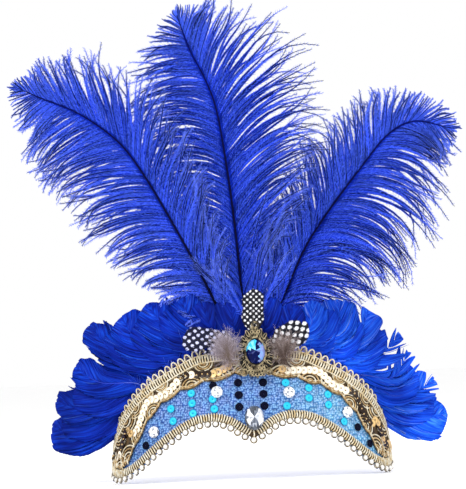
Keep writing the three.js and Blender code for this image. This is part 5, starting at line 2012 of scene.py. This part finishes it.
@dataclass
class Studio:
    """Pale floor, soft lights and the camera at the photograph's angle.

    The camera's angles are degrees, its lens, distance and aim millimetres. A lamp has a name, a
    place in metres, a power in watts and a size in metres.
    """

    floor: float = -3.6
    azimuth: float = -1.8
    elevation: float = 2.6
    roll: float = 2.45
    distance: float = 1500.0
    lens: float = 179.0
    aim: tuple[float, float] = (-13.6, 142.1)
    lamps: tuple[tuple, ...] = (("key", (-0.9, -1.4, 1.3), 18, 0.7), ("fill", (1.3, -1.1, 0.6), 7, 0.9),
                                ("rim", (0.3, 1.3, 1.2), 10, 0.8))

    def build(self) -> None:
        """Makes the floor, the world, the lights and the camera."""
        self.ground()
        self.lights()
        self.camera()

    def ground(self) -> None:
        """Makes a broad round floor."""
        turn, reach = full_turn(96), 12
        circle = np.stack([np.cos(turn), np.sin(turn), np.zeros(96)], axis=-1)
        points = reach * circle + self.floor * MM * UPWARD
        mesh = bpy.data.meshes.new("studio_floor")
        mesh.from_pydata(points.tolist(), [], [list(range(96))])
        mesh.materials.append(FLOOR.material())
        floor = bpy.data.objects.new("studio_floor", mesh)
        bpy.context.scene.collection.objects.link(floor)

    def lights(self) -> None:
        """Makes a near-white world and three soft lamps."""
        world = bpy.data.worlds.new("studio")
        world.use_nodes = True
        sky = world.node_tree.nodes["Background"]
        sky.inputs[0].default_value = (1, 1, 1, 1)
        sky.inputs[1].default_value = 1.0
        bpy.context.scene.world = world
        for name, spot, power, size in self.lamps:
            lamp = bpy.data.lights.new(name, "AREA")
            lamp.energy, lamp.size = power, size
            holder = bpy.data.objects.new(name, lamp)
            holder.location = spot
            aim = Vector((0, -0.03, 0.12)) - Vector(spot)
            holder.rotation_euler = aim.to_track_quat("-Z", "Y").to_euler()
            bpy.context.scene.collection.objects.link(holder)

    def camera(self) -> None:
        """Makes the camera: level with the brow, a little to the left, and slightly rolled."""
        az, el, roll = (math.radians(a) for a in (self.azimuth, self.elevation, self.roll))
        back = Vector((math.sin(az) * math.cos(el), -math.cos(az) * math.cos(el), math.sin(el)))
        right = Vector((0, 0, 1)).cross(back).normalized()
        up = back.cross(right)
        target = Vector((0, -0.05, 0))
        lens_up = up * math.cos(roll) + right * math.sin(roll)
        lens_right = right * math.cos(roll) - up * math.sin(roll)
        place = target + back * self.distance * MM
        look = target + (lens_right * self.aim[0] + lens_up * self.aim[1]) * MM
        sight = (look - place).normalized()
        level = (lens_up - sight * lens_up.dot(sight)).normalized()
        turn = Matrix((sight.cross(level), level, -sight)).transposed()
        data = bpy.data.cameras.new("camera")
        data.lens, data.sensor_width, data.clip_start, data.clip_end = self.lens, 36.0, 0.05, 60.0
        holder = bpy.data.objects.new("camera", data)
        holder.matrix_world = Matrix.Translation(place) @ turn.to_4x4()
        bpy.context.scene.collection.objects.link(holder)
        bpy.context.scene.camera = holder


def main() -> None:
    """Builds the headdress and its studio in order."""
    logging.basicConfig(level=logging.INFO, format="%(name)s %(message)s")
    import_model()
    bpy.context.scene.view_settings.view_transform = "Standard"
    Studio().build()
    for part in (Band(), UpperBraid(), LowerTrim(), Sequins(), Stones(), Medallion(), GuineaGroup(),
                 DownTufts(), GooseFan(), *PLUMES):
        part.build()
        LOG.info("%s done", type(part).__name__)


if __name__ == "__main__":
    main()
